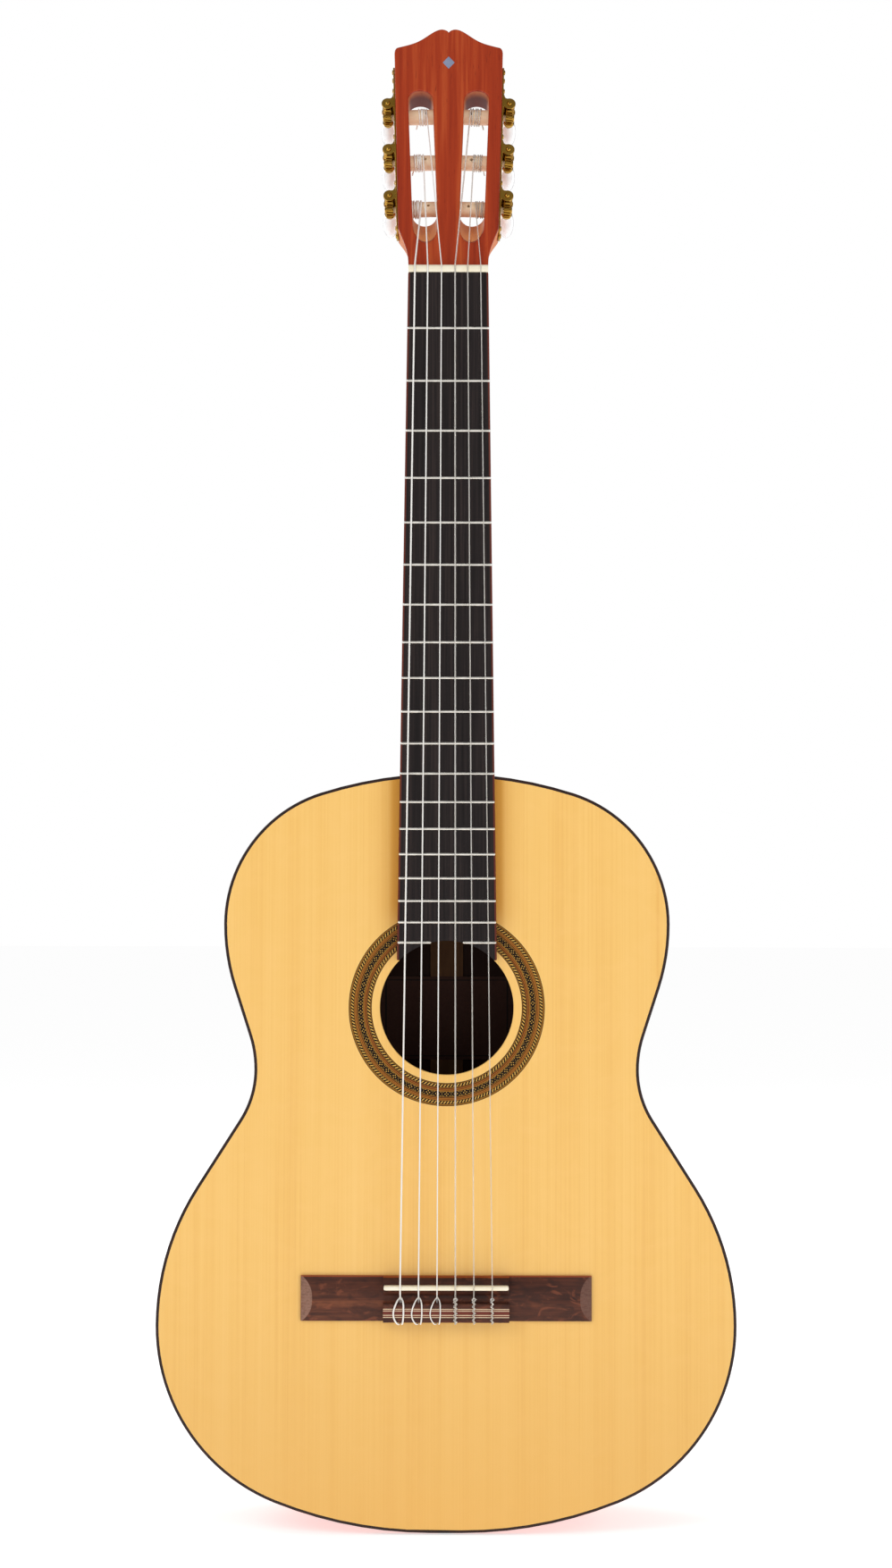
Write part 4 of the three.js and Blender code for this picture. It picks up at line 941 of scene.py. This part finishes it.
def head_outline():
    """The head's face: concave shoulders, straight cheeks, and a tip that sweeps up to two small humps."""
    right = bezier((26, 5.6), (26, 18), (29, 23), (32.8, 34), 16)
    right += bezier((32.8, 34), (33.9, 78), (35.1, 122), (36.3, 166), 4)
    right += bezier((36.3, 166), (36.3, 169.4), (35.4, 171), (33.5, 171.3), 8)
    right += bezier((33.5, 171.3), (28, 172.8), (22.5, 174.4), (19, 176.8), 10)
    right += bezier((19, 176.8), (14.6, 179.4), (9.6, 184.9), (5, 185.4), 12)
    right += bezier((5, 185.4), (3, 185.4), (1.2, 184.8), (0, 183.2), 7)
    return right + [(0.0, 183.2)] + [(-x, y) for x, y in right[::-1]]


def head_ring(height):
    """The head's outline at a height over its face: below the face the shoulders' underside runs up."""
    slope = -0.47 * height / HEAD_THICKNESS
    return [(x, s + max(34 - s, 0) * slope, height) for x, s in head_outline()]


def slot_centre(s):
    return lerp(SLOT["centre_low"], SLOT["centre_high"], (s - SLOT["low"]) / (SLOT["high"] - SLOT["low"]))


def slot_outline(depth):
    """A slot's outline at a depth under the face: round ends, the one by the nut sloping in."""
    slope = SLOT_RAMP / HEAD_THICKNESS
    low, round_low = SLOT["low"] + slope * depth, lerp(13, 9, depth / HEAD_THICKNESS)
    half, end = SLOT["half"], SLOT["high"] - 7
    points = [(half * math.cos(a), low + round_low + round_low * math.sin(a))
              for a in angles(math.pi, 2 * math.pi, 16)]
    return points + [(half * math.cos(a), end + 7 * math.sin(a)) for a in angles(0, math.pi, 16)]


def slot_cutter(sign):
    rings = [[(sign * (slot_centre(s) + x), s, -depth) for x, s in slot_outline(depth)] for depth in (-3, 24)]
    return loft("slot_space", rings, HEAD)


Tuner = namedtuple("Tuner", "number index sign s outer place end")


def tuner_frames():
    """For each machine the frame on the cheek, x out of the head, and how far in its roller's end lies."""
    made = []
    for number, index, sign in ((6, 0, -1), (5, 1, -1), (4, 2, -1), (3, 2, 1), (2, 1, 1), (1, 0, 1)):
        s = ROLLER_Y[index]
        outer = CHEEK_LOW[0] + math.tan(CHEEK_LEAN) * (s - CHEEK_LOW[1])
        place = HEAD @ Matrix.Translation((sign * outer, s, -ROLLER_DEPTH))
        place = place @ Matrix.Rotation(-sign * CHEEK_LEAN, 4, "Z")
        if sign < 0:
            place = place @ Matrix.Rotation(math.pi, 4, "Y")
        made.append(Tuner(number, index, sign, s, outer, place, slot_centre(s) - outer - SLOT["half"] - 5))
    return made


TUNERS = tuner_frames()


def head_slab():
    rings = [head_ring(h) for h in (-HEAD_THICKNESS, -VENEER)]
    obj = soften(loft("head_slab", rings, HEAD), 1.2, 3, lambda p: (HEAD.inverted() @ p).z < -HEAD_THICKNESS + 0.1)
    for sign in (-1, 1):
        cut(obj, slot_cutter(sign))
    for tuner in TUNERS:
        cut(obj, turned("bore", [(tuner.end - 0.3, 5.4), (6, 5.4)], tuner.place, 40, "x"))
    return obj


def neck():
    neck_piece = neck_shaft()
    cut(neck_piece, head_slab(), "UNION")
    finish_piece(neck_piece, NECK_WOOD, "mahogany", ["neck"], 40)
    veneer = loft("head_face_veneer", [head_ring(h) for h in (-VENEER, 0)], HEAD)
    for sign in (-1, 1):
        cut(veneer, slot_cutter(sign))
    low, high = NUT_Y - 20, NUT_END + 0.05
    cut(veneer, prism("nut_space", [(-40, low), (40, low), (40, high), (-40, high)], 20, 80))
    soften(veneer, 0.5, 3, lambda p: (HEAD.inverted() @ p).z > -0.05)
    finish_piece(veneer, MAHOGANY, "mahogany", ["headstock_veneer"], 40)
    cap = [(HEEL_HALF * math.sqrt(max(0, 1 - (i / 24) ** 2.4)), BODY_LENGTH + HEEL_REACH * i / 24) for i in range(25)]
    cap = [(HEEL_HALF, BODY_LENGTH - 4)] + cap
    cap += [(-x, y) for x, y in cap[::-1] if x > 0]
    cap_piece = prism("heel_cap_plate", cap, HEEL_LOW - HEEL_CAP, HEEL_LOW)
    cut(cap_piece, prism("body_space", full_outline(0), -99, 99))
    bevelled(cap_piece, 0.5, 2, 50)
    finish_piece(cap_piece, BINDING, "binding", ["heel_cap"])
    lozenge = [(0, 154.6), (4.0, 159.4), (0, 164.2), (-4.0, 159.4)]
    emblem = bevelled(prism("head_lozenge", lozenge, -0.5, 0.12, HEAD), 0.1, 1)
    finish_piece(emblem, EMBLEM, "bone")


# ---- Fretboard, nut and bridge -----------------------------------------------------------------------------


def fret_y(number):
    return NUT_Y - SCALE_LENGTH * (1 - 2 ** (-number / 12))


def fingerboard():
    low = NUT_Y - BOARD_LENGTH
    reach = math.sqrt(HOLE_RADIUS ** 2 - (low - HOLE_Y) ** 2)
    start = math.atan2(low - HOLE_Y, reach)
    arc = [(HOLE_RADIUS * math.cos(a), HOLE_Y + HOLE_RADIUS * math.sin(a))
           for a in angles(start, math.pi - start, 40)]
    wide, narrow = half_board(low), half_board(NUT_Y)
    outline = [(wide, low), (narrow, NUT_Y), (-narrow, NUT_Y), (-wide, low)]
    board = prism("fingerboard", outline + arc[::-1], TOP_Z + 0.05, BOARD_TOP)
    bevelled(board, 0.8, 3, 60)
    finish_piece(board, FRETBOARD, "fretboard_wood", ["fretboard"], 40)
    for number in range(1, FRETS + 1):
        fret(number)


def fret(number):
    """A crowned wire with rounded ends; the last one stops either side of the hole."""
    y = fret_y(number)
    half = half_board(y) - 0.15
    gap = math.sqrt(max(HOLE_RADIUS ** 2 - (y - HOLE_Y) ** 2, 0)) + 0.4 if y < HOLE_Y + HOLE_RADIUS + 1.1 else 0
    spans = [(-half, -gap), (gap, half)] if gap else [(-half, half)]
    for index, (x0, x1) in enumerate(spans):
        rings = []
        for x, size in ((x0, 0.55), (x0 + 0.25, 0.85), (x0 + 0.7, 1), (x1 - 0.7, 1), (x1 - 0.25, 0.85), (x1, 0.55)):
            ring = [(x, y + 0.95 * size * math.cos(a), BOARD_TOP - 0.15 + 1.12 * size * math.sin(a))
                    for a in angles(0, math.pi, 10)]
            rings.append(ring + [(x, y - 0.95 * size, BOARD_TOP - 0.6), (x, y + 0.95 * size, BOARD_TOP - 0.6)])
        name = f"fret_{number:02d}" + ("" if len(spans) == 1 else "_bass" if index == 0 else "_treble")
        finish_piece(loft(name, rings), FRET_SILVER, "wound_string", angle=60)


String = namedtuple("String", "number nut saddle radius index")  # across at nut and saddle, and which roller
STRINGS = (
    String(6, -21.6, -29.1, 0.55, 0), String(5, -13.3, -17.5, 0.45, 1), String(4, -4.4, -5.8, 0.38, 2),
    String(3, 4.4, 5.8, 0.5, 2), String(2, 12.6, 17.5, 0.4, 1), String(1, 21, 29.1, 0.35, 0),
)
STRING_ON_SADDLE = SADDLE_TOP + 0.05
STRING_ON_NUT = NUT_TOP - 0.35


def bar_along_x(name, profile, half):
    """A bar from -half to half whose section is (y, z) steps."""
    return loft(name, [[(x, y, z) for y, z in profile] for x in (-half, half)])


def nut_and_saddle():
    y0, y1, top = NUT_Y + 0.05, NUT_END, NUT_TOP
    profile = [(y0, TOP_Z + 0.1), (y1, TOP_Z + 0.1), (y1, top - 1.6), (y1 - 1.2, top - 0.5), (y0 + 1.6, top),
               (y0, top)]
    block = bevelled(bar_along_x("nut_bone", profile, BOARD_WIDTHS[0] / 2 - 0.1), 0.35, 2, 25)
    for one in STRINGS:
        axis = STRING_ON_NUT + one.radius
        path = [(one.nut, y0 - 3, axis), (one.nut, y1 + 3, axis - 0.9)]
        cut(block, tube("groove", path, one.radius + 0.12, 16))
    finish_piece(block, BONE, "bone", ["nut"], 35)
    low, high = front_box("saddle")
    top = high.z
    rings = []
    half = (high.y - low.y) / 2
    ends = ((0, 0.55), (0.2, 0.75), (0.6, 0.92), (1.3, 1.0))
    for x, size in [(low.x + d, s) for d, s in ends] + [(high.x - d, s) for d, s in ends[::-1]]:
        ring = [(x, SADDLE_Y + half * size * math.cos(a), top - 0.8 + (0.8 * size) * math.sin(a))
                for a in angles(0, math.pi, 8)]
        rings.append(ring + [(x, SADDLE_Y - half * size, low.z), (x, SADDLE_Y + half * size, low.z)])
    finish_piece(loft("saddle_bone", rings), BONE, "bone", ["saddle"], 45)


def bridge():
    """Wings with bevelled ends, a saddle slot and ramp, and a tie block with six string holes."""
    base = TOP_Z + 0.05
    middle = (BRIDGE_LOW + BRIDGE_HIGH) / 2
    reach = (BRIDGE_HIGH - BRIDGE_LOW) / 2
    wing = [(BRIDGE_LOW, base)]
    for i in range(17):
        across = -1 + 2 * i / 16
        wing.append((middle + across * reach, base + 1.7 + 2.9 * (1 - abs(across) ** 2.6)))
    wing.append((BRIDGE_HIGH, base))
    body_piece = bar_along_x("bridge_body", wing, BRIDGE_HALF)
    for sign in (-1, 1):
        facet = [(BRIDGE_HALF, base + 1.5), (BRIDGE_HALF, base + 9), (76, base + 9), (85.2, base + 4.7)]
        wedge = loft("end_facet", [[(sign * x, y, z) for x, z in facet] for y in (BRIDGE_LOW - 2, BRIDGE_HIGH + 2)])
        cut(body_piece, wedge)
    slot = front_box("saddle")[1].y - SADDLE_Y + 0.05
    top = BRIDGE_TOP
    block = [
        (BRIDGE_LOW, base), (BRIDGE_HIGH, base), (BRIDGE_HIGH, base + 4.4), (BRIDGE_HIGH - 1.2, base + 6.4),
        (BRIDGE_HIGH - 3.6, base + 7.9), (SADDLE_Y + slot, base + 8), (SADDLE_Y - slot, base + 7.2),
        (SADDLE_Y - 4.2, base + 5.6), (BLOCK_HIGH + 1.4, base + 2.4), (BLOCK_HIGH + 0.3, base + 2.6),
        (BLOCK_HIGH, top - 0.5), (BLOCK_HIGH - 0.6, top),
        (BRIDGE_LOW + 1.2, top), (BRIDGE_LOW + 0.3, top - 0.4), (BRIDGE_LOW, top - 1.2),
    ]
    cut(body_piece, bar_along_x("bridge_block", block, BLOCK_HALF), "UNION")
    low, high, end = SADDLE_Y - slot, SADDLE_Y + slot, BLOCK_HALF - 0.3
    channel = [(-end, low), (end, low), (end, high), (-end, high)]
    cut(body_piece, prism("saddle_slot", channel, base + 2.5, base + 20))
    for one in STRINGS:
        hole = [(one.saddle, y, TIE_HEIGHT) for y in (BRIDGE_LOW - 4, BLOCK_HIGH + 2)]
        cut(body_piece, tube("string_hole", hole, 1.05, 16))
    bevelled(body_piece, 0.3, 2, 50)
    finish_piece(body_piece, ROSEWOOD, "bridge_wood", ["bridge"], 35)


# ---- Strings -------------------------------------------------------------------------------------------


def string_look(one):
    return (WOUND, "wound_string") if one.number > 3 else (NYLON, "nylon_string")


def string(one):
    """A string from its roller over nut and saddle to its knot on the tie block. Gives its start on the head."""
    r, x = one.radius, one.saddle
    wound = one.number > 3
    over_nut, over_saddle = STRING_ON_NUT + r, STRING_ON_SADDLE + r
    leave = Vector((one.nut, NUT_END - 0.4, over_nut - 0.45))
    local = HEAD.inverted() @ leave
    dy, dz = local.y - ROLLER_Y[one.index], local.z + ROLLER_DEPTH
    wrap = ROLLER_RADIUS + 0.03 + r
    angle = math.atan2(dz, dy) - math.acos(wrap / math.hypot(dy, dz))
    start = Vector((math.copysign((17.8, 16.6, 14.6)[one.index], x), ROLLER_Y[one.index] + wrap * math.cos(angle),
                    -ROLLER_DEPTH + wrap * math.sin(angle)))
    path = [HEAD @ start, leave, Vector((one.nut, NUT_Y + 1.6, over_nut - 0.08))]
    path += [Vector((one.nut, NUT_Y, over_nut)), Vector((x, SADDLE_Y + 1.6, over_saddle - 0.1))]
    block = BRIDGE_TOP + r
    tie = [(x, SADDLE_Y + 0.6, over_saddle), (x, SADDLE_Y - 0.5, over_saddle - 0.05),
           (x, SADDLE_Y - 1.6, over_saddle - 0.8), (x, 148.2, 56.2), (x, 146.2, 54.5), (x, 144, TIE_HEIGHT),
           (x, 135.5, TIE_HEIGHT)]
    if wound:
        tie += [(x - 0.1, 133.3, 54.2), (x - 0.5, 132.6, 56.2), (x - 1.3, 132.7, block - 1.3),
                (x - 2.3, 133.7, block + 0.1), (x - 3.7, 136.0, block + 0.25), (x - 4.3, 138.8, block + 0.3),
                (x - 4.0, 142.0, block + 0.3), (x - 2.9, 145.2, block + 0.35), (x - 1.6, 147.6, block - 1.4),
                (x + 0.1, 149.2, 55.6), (x + 1.4, 147.7, block - 1.6), (x + 2.0, 145.4, block + 0.3),
                (x + 2.1, 142.6, block + 0.3), (x + 2.1, 139.4, block + 0.3), (x + 1.9, 136.2, block + 0.25),
                (x + 1.6, 133.9, block), (x + 1.3, 132.8, block - 1.3), (x + 1.1, 132.7, block - 3.0)]
    else:
        tie += [(x, 133.4, 54.3), (x + 0.1, 132.7, 56.5), (x + 0.2, 133.0, block - 0.8)]
        for i in range(37):
            t, angle = i / 36, 2 * math.pi * 4.5 * i / 36
            tie.append((x + 0.8 * math.cos(angle), 134.2 + 12.8 * t, block + 0.9 + 0.7 * math.sin(angle)))
        tie += [(x + 1.1, 148.4, block + 1.5), (x + 0.2, 149.5, block + 1.4), (x - 0.9, 148.8, block + 1.2),
                (x - 0.8, 147.7, block + 0.8)]
    path += smooth_path(tie, 5)
    obj = tube(f"string_{one.number}_wire", path, r, 12)
    finish_piece(obj, *string_look(one), [f"string_{one.number}"], angle=60)
    if not wound:  # the strand that the knot is twisted around
        strand = [(x - 0.1, 133.0, block - 0.9), (x, 134.2, block + 0.6), (x + 0.1, 140.8, block + 1.0),
                  (x, 146.6, block + 1.2), (x, 148.6, block + 0.2)]
        core = tube(f"string_{one.number}_knot", smooth_path(strand, 4), r, 10)
        finish_piece(core, *string_look(one), angle=60)
    return start


def winding(one, start, tuner):
    """The string's turns around its roller, with a cut end."""
    r, sign = one.radius, tuner.sign
    start = tuner.place.inverted() @ HEAD @ start
    angle, wrap = math.atan2(start.z, start.y), ROLLER_RADIUS + 0.03 + r
    turns = 4.5
    pitch = 2 * r + (0.4 if one.number > 3 else 0.65)
    path = []
    count = int(turns * 24)
    for i in range(count + 1):
        turn = turns * i / count
        wobble = 0.25 * math.sin(2.3 * turn + one.number)
        now = angle - sign * 2 * math.pi * turn
        x = start.x + pitch * turn + wobble - 0.25 * math.sin(one.number)
        path.append((x, wrap * math.cos(now), wrap * math.sin(now)))
    for k in range(1, 5):
        out = 1.3 * k
        path.append((x + 0.35 * k, wrap * math.cos(now) + sign * out * math.sin(now) + 0.05 * k * k * math.cos(now),
                     wrap * math.sin(now) - sign * out * math.cos(now) + 0.05 * k * k * math.sin(now)))
    obj = tube(f"string_{one.number}_winding", path, r, 10, tuner.place)
    finish_piece(obj, *string_look(one), angle=60, body=f"roller_body_{one.number}")


# ---- Tuning machines -----------------------------------------------------------------------------------


def roller(tuner):
    number, place, rides = tuner.number, tuner.place, f"roller_body_{tuner.number}"
    end, gear_end = tuner.end, WORM_OUT + 2.2
    profile = [(end, 4.5), (end + 0.5, 5), (-0.8, 5), (-0.3, 4.6), (-0.3, 2), (gear_end, 2)]
    sleeve = turned(f"roller_{number}_sleeve", profile, place, 48, "x")
    hole_x = (15.2 if tuner.index else 13.2) - tuner.outer
    cut(sleeve, tube("string_hole", [(hole_x, 0.4, -8), (hole_x, -0.4, 8)], 1.0, 14, place))
    finish_piece(sleeve, ROLLER_IVORY, "roller_plastic", [f"roller_{number}"], 40, rides)
    dome = [(gear_end + out, r) for out, r in ((-0.2, 2.9), (0.5, 2.9), (1.0, 2.4), (1.25, 1.5), (1.3, 0.02))]
    screw = turned(f"gear_{number}_screw", dome, place, 28, "x")
    groove = [(gear_end + out, across) for out, across in ((0.75, -0.32), (3, -0.32), (3, 0.32), (0.75, 0.32))]
    cut(screw, prism("groove", groove, -5, 5, place))
    finish_piece(screw, GOLD, "gilt_metal", angle=30, body=rides)


def gear(tuner):
    """The brass wheel: straight-flanked teeth that lean with the worm's thread."""
    pitch = 2 * math.pi / GEAR_TEETH
    steps = ((3.9, -0.34), (3.95, -0.27), (4.75, -0.19), (5.3, -0.12), (5.4, -0.08), (5.4, 0.08), (5.3, 0.12),
             (4.75, 0.19), (3.95, 0.27), (3.9, 0.34))
    rings = []
    for z, shrink in ((-2.2, 0.4), (-1.9, 0), (-0.9, 0), (0, 0), (0.9, 0), (1.9, 0), (2.2, 0.4)):
        twist = z * WORM_LEAD / (2 * math.pi * WORM_PITCH_RADIUS * GEAR_PITCH_RADIUS)
        ring = []
        for tooth in range(GEAR_TEETH):
            for radius, share in steps:
                a = (tooth + 0.5 + share) * pitch + twist
                size = radius - (shrink if radius > 4.5 else 0)
                ring.append((WORM_OUT + z, size * math.cos(a), size * math.sin(a)))
        rings.append(ring)
    wheel = loft(f"gear_{tuner.number}_wheel", rings, tuner.place)
    finish_piece(wheel, GOLD, "gilt_metal", [f"gear_{tuner.number}"], 35, f"roller_body_{tuner.number}")


def worm(tuner):
    """The worm: a thread that climbs around its core, and a shaft from the front lug to the ferrule."""
    number, rides = tuner.number, f"worm_body_{tuner.number}"
    lead, half, root, sides = WORM_LEAD, 4.0, 2.15, 30
    shares = ((-0.24, root), (-0.12, 3.35), (-0.08, 3.5), (0.08, 3.5), (0.12, 3.35), (0.24, root))
    rows = [(-half, 0.0)] + [((turn + s) * lead, r) for turn in range(-4, 5) for s, r in shares] + [(half, 0.0)]
    points, faces = [], []
    for j in range(sides + 1):
        a = 2 * math.pi * j / sides
        for height, radius in rows:
            climbed = height + lead * (j / sides + 0.25)
            z = max(-half, min(half, climbed)) if radius else height
            size = root if radius and abs(climbed) > half else radius
            points.append((WORM_OUT + size * math.cos(a), WORM_OFFSET + size * math.sin(a), z))
    for j in range(sides):
        for k in range(len(rows) - 1):
            a, b = j * len(rows) + k, (j + 1) * len(rows) + k
            faces.append((a, b, b + 1, a + 1))
    thread = mesh_object(f"worm_{number}_thread", points, faces, tuner.place)
    finish_piece(thread, GOLD, "gilt_metal", [f"worm_{number}"], 40, rides)
    start, end = 27.5 - ROLLER_DEPTH, 31.2 - ROLLER_DEPTH
    profile = [(-7.2, 0.02), (-7.15, 0.8), (-6.9, 1.4), (-6.5, 1.7), (6.1, 1.7), (6.2, 2.4), (start - 1.2, 2.4),
               (start - 0.4, 2.6), (start, 3.3), (start + 0.5, 3.7), (start + 1.6, 3.7), (start + 2.1, 3.3),
               (end - 0.6, 3.2), (end, 2.9)]
    flip = Matrix.Translation((WORM_OUT, WORM_OFFSET, 0)) @ Matrix.Rotation(math.pi if tuner.sign > 0 else 0, 4, "Y")
    shaft = turned(f"worm_{number}_shaft", profile, tuner.place @ flip, 36)
    finish_piece(shaft, GOLD, "gilt_metal", angle=35, body=rides)
    shape = [(0, 2.7, 2.6), (0.8, 3.2, 2.9), (2.2, 4.6, 3.5), (4.2, 7.0, 4.3), (6.6, 8.7, 4.8), (9.4, 9.3, 5.0),
             (12.4, 9.0, 4.9), (15.2, 7.9, 4.5), (17.6, 6.0, 3.6), (19.2, 3.9, 2.5), (20.0, 2.0, 1.4),
             (20.25, 0.3, 0.2)]
    shape = [tuple(p) for p in smooth_path(shape, 3)]
    rings = []
    for t, wide, thick in shape:
        rings.append([(max(thick, 0.05) * math.cos(a), max(wide, 0.05) * math.sin(a), end + t)
                      for a in angles(0, 2 * math.pi, 40)[:-1]])
    knob = loft(f"button_{number}_pearl", rings, tuner.place @ flip)
    finish_piece(knob, PEARL, "pearl_plastic", [f"button_{number}"], 60, rides)


def lug_outline():
    """A bearing lug seen along the worm: a round eye with a web that flares into the plate."""
    points = circle(4.05, 40, start=math.radians(-148))[:28]
    foot = 1.0 - WORM_OUT
    flare = bezier(points[-1], (-2.6, 3.4), (-3.3, 4.6), (foot + 0.6, 7.2), 8)
    return points + flare[1:] + [(foot + 0.6, 7.2), (foot - 0.2, 7.2), (foot - 0.2, -2.6), (foot + 0.6, -2.6)]


def plates():
    for name, sign, node in (("plate_bass", -1, "bass_tuner_plate"), ("plate_treble", 1, "treble_tuner_plate")):
        own = sorted((t for t in TUNERS if t.sign == sign), key=lambda t: t.s)
        place, first, lean = own[0].place, ROLLER_Y[0], math.cos(CHEEK_LEAN)
        low, high = (32.4 - first) / lean, (161 - first) / lean
        # a rounded strip in the plate's own plane: x across the head's side, y along it, z out of the cheek
        outline = [(7.5 * math.cos(a), low + 5 + 5 * math.sin(a)) for a in angles(math.pi, 2 * math.pi, 12)]
        outline += [(7.5 * math.cos(a), high - 5 + 5 * math.sin(a)) for a in angles(0, math.pi, 12)]
        turn = Matrix(((0, 0, 1, 0), (0, 1, 0, 0), (-1, 0, 0, 0), (0, 0, 0, 1)))
        sheet = bevelled(prism(f"{name}_strip", outline, 0.05, 1.2, place @ turn), 0.3, 2)
        finish_piece(sheet, GOLD, "gilt_metal", [node], 35)
        for number, along in enumerate((37.5, 71.5, 106.5, 141.5, 156), 1):
            for edge in (-4.9, 4.9):
                at = Matrix.Translation((0, (along - first) / lean, edge))
                dome = [(1.0, 1.75), (1.35, 1.75), (1.75, 1.4), (2.0, 0.8), (2.05, 0.02)]
                head = turned(f"{name}_screw_{number}" + ("a" if edge < 0 else "b"), dome, place @ at, 20, "x")
                finish_piece(head, GOLD, "gilt_metal", angle=40)
        for tuner in own:
            for low_z, high_z, end in ((-5.9, -4.3, "rear" if sign > 0 else "front"),
                                       (4.3, 5.9, "front" if sign > 0 else "rear")):
                at = tuner.place @ Matrix.Translation((WORM_OUT, WORM_OFFSET, 0))
                eye = bevelled(prism(f"lug_{tuner.number}_{end}", lug_outline(), low_z, high_z, at), 0.4, 3, 50)
                cut(eye, turned("bore", [(low_z - 1, 1.8), (high_z + 1, 1.8)], at, 32))
                finish_piece(eye, GOLD, "gilt_metal", angle=40)


# ---- Assembly --------------------------------------------------------------------------------------------

body()
label()
neck()
fingerboard()
nut_and_saddle()
bridge()
starts = {one: string(one) for one in STRINGS}
for one, tuner in zip(STRINGS, TUNERS):
    roller(tuner)
    gear(tuner)
    worm(tuner)
    winding(one, starts[one], tuner)
plates()


# ---- Stage, light and camera -------------------------------------------------------------------------------


def floor():
    mesh = bpy.data.meshes.new("floor")
    reach, level = 30.0, -0.0012
    corners = [(-reach, -reach, level), (reach, -reach, level), (reach, reach, level), (-reach, reach, level)]
    mesh.from_pydata(corners, [], [(0, 1, 2, 3)])
    obj = bpy.data.objects.new("floor", mesh)
    bpy.context.scene.collection.objects.link(obj)
    white = (1, 1, 1, 1)
    paint = Paint("pale_floor", white, Roughness=1.0, Specular_IOR_Level=0.0, Emission_Color=white,
                  Emission_Strength=0.6)
    mesh.materials.append(paint.done())


def area_light(name, at, aim, size, power, color=(1, 1, 1)):
    data = bpy.data.lights.new(name, "AREA")
    data.shape, data.size, data.size_y = "RECTANGLE", size[0], size[1]
    data.energy, data.color = power, color
    lamp = bpy.data.objects.new(name, data)
    bpy.context.scene.collection.objects.link(lamp)
    lamp.location = at
    lamp.rotation_euler = (Vector(aim) - Vector(at)).to_track_quat("-Z", "Y").to_euler()


def stage():
    floor()
    scene = bpy.context.scene
    scene.world = bpy.data.worlds.new("studio")
    scene.world.use_nodes = True
    tree = scene.world.node_tree
    soft = tree.nodes["Background"]
    soft.inputs[0].default_value, soft.inputs[1].default_value = (1, 1, 1, 1), 0.38
    seen = tree.nodes.new("ShaderNodeBackground")
    seen.inputs[0].default_value, seen.inputs[1].default_value = (1, 1, 1, 1), 1.0
    either = tree.nodes.new("ShaderNodeMixShader")
    tree.links.new(tree.nodes.new("ShaderNodeLightPath").outputs["Is Camera Ray"], either.inputs[0])
    tree.links.new(soft.outputs[0], either.inputs[1])
    tree.links.new(seen.outputs[0], either.inputs[2])
    tree.links.new(either.outputs[0], tree.nodes["World Output"].inputs[0])
    scene.view_settings.view_transform = "Standard"
    area_light("key", (-1.7, -1.9, 2.0), (0, 0, 0.5), (1.3, 1.3), 17)
    area_light("fill", (1.9, -1.8, 1.1), (0, 0, 0.45), (1.2, 1.6), 12)
    area_light("back_left", (-1.6, 2.0, 1.5), (0, 0, 0.5), (1.3, 1.3), 16)
    area_light("back_right", (1.9, 1.7, 1.2), (0, 0, 0.5), (1.3, 1.3), 12)
    data = bpy.data.cameras.new("camera")
    camera = bpy.data.objects.new("camera", data)
    scene.collection.objects.link(camera)
    data.lens, data.sensor_width = 58.515, 36
    data.clip_start, data.clip_end = 0.05, 50
    camera.location = (-0.0006, -1.6867, 0.3914)
    camera.rotation_euler = (math.radians(90 + 2.945), math.radians(-0.12), 0)
    scene.camera = camera


stage()
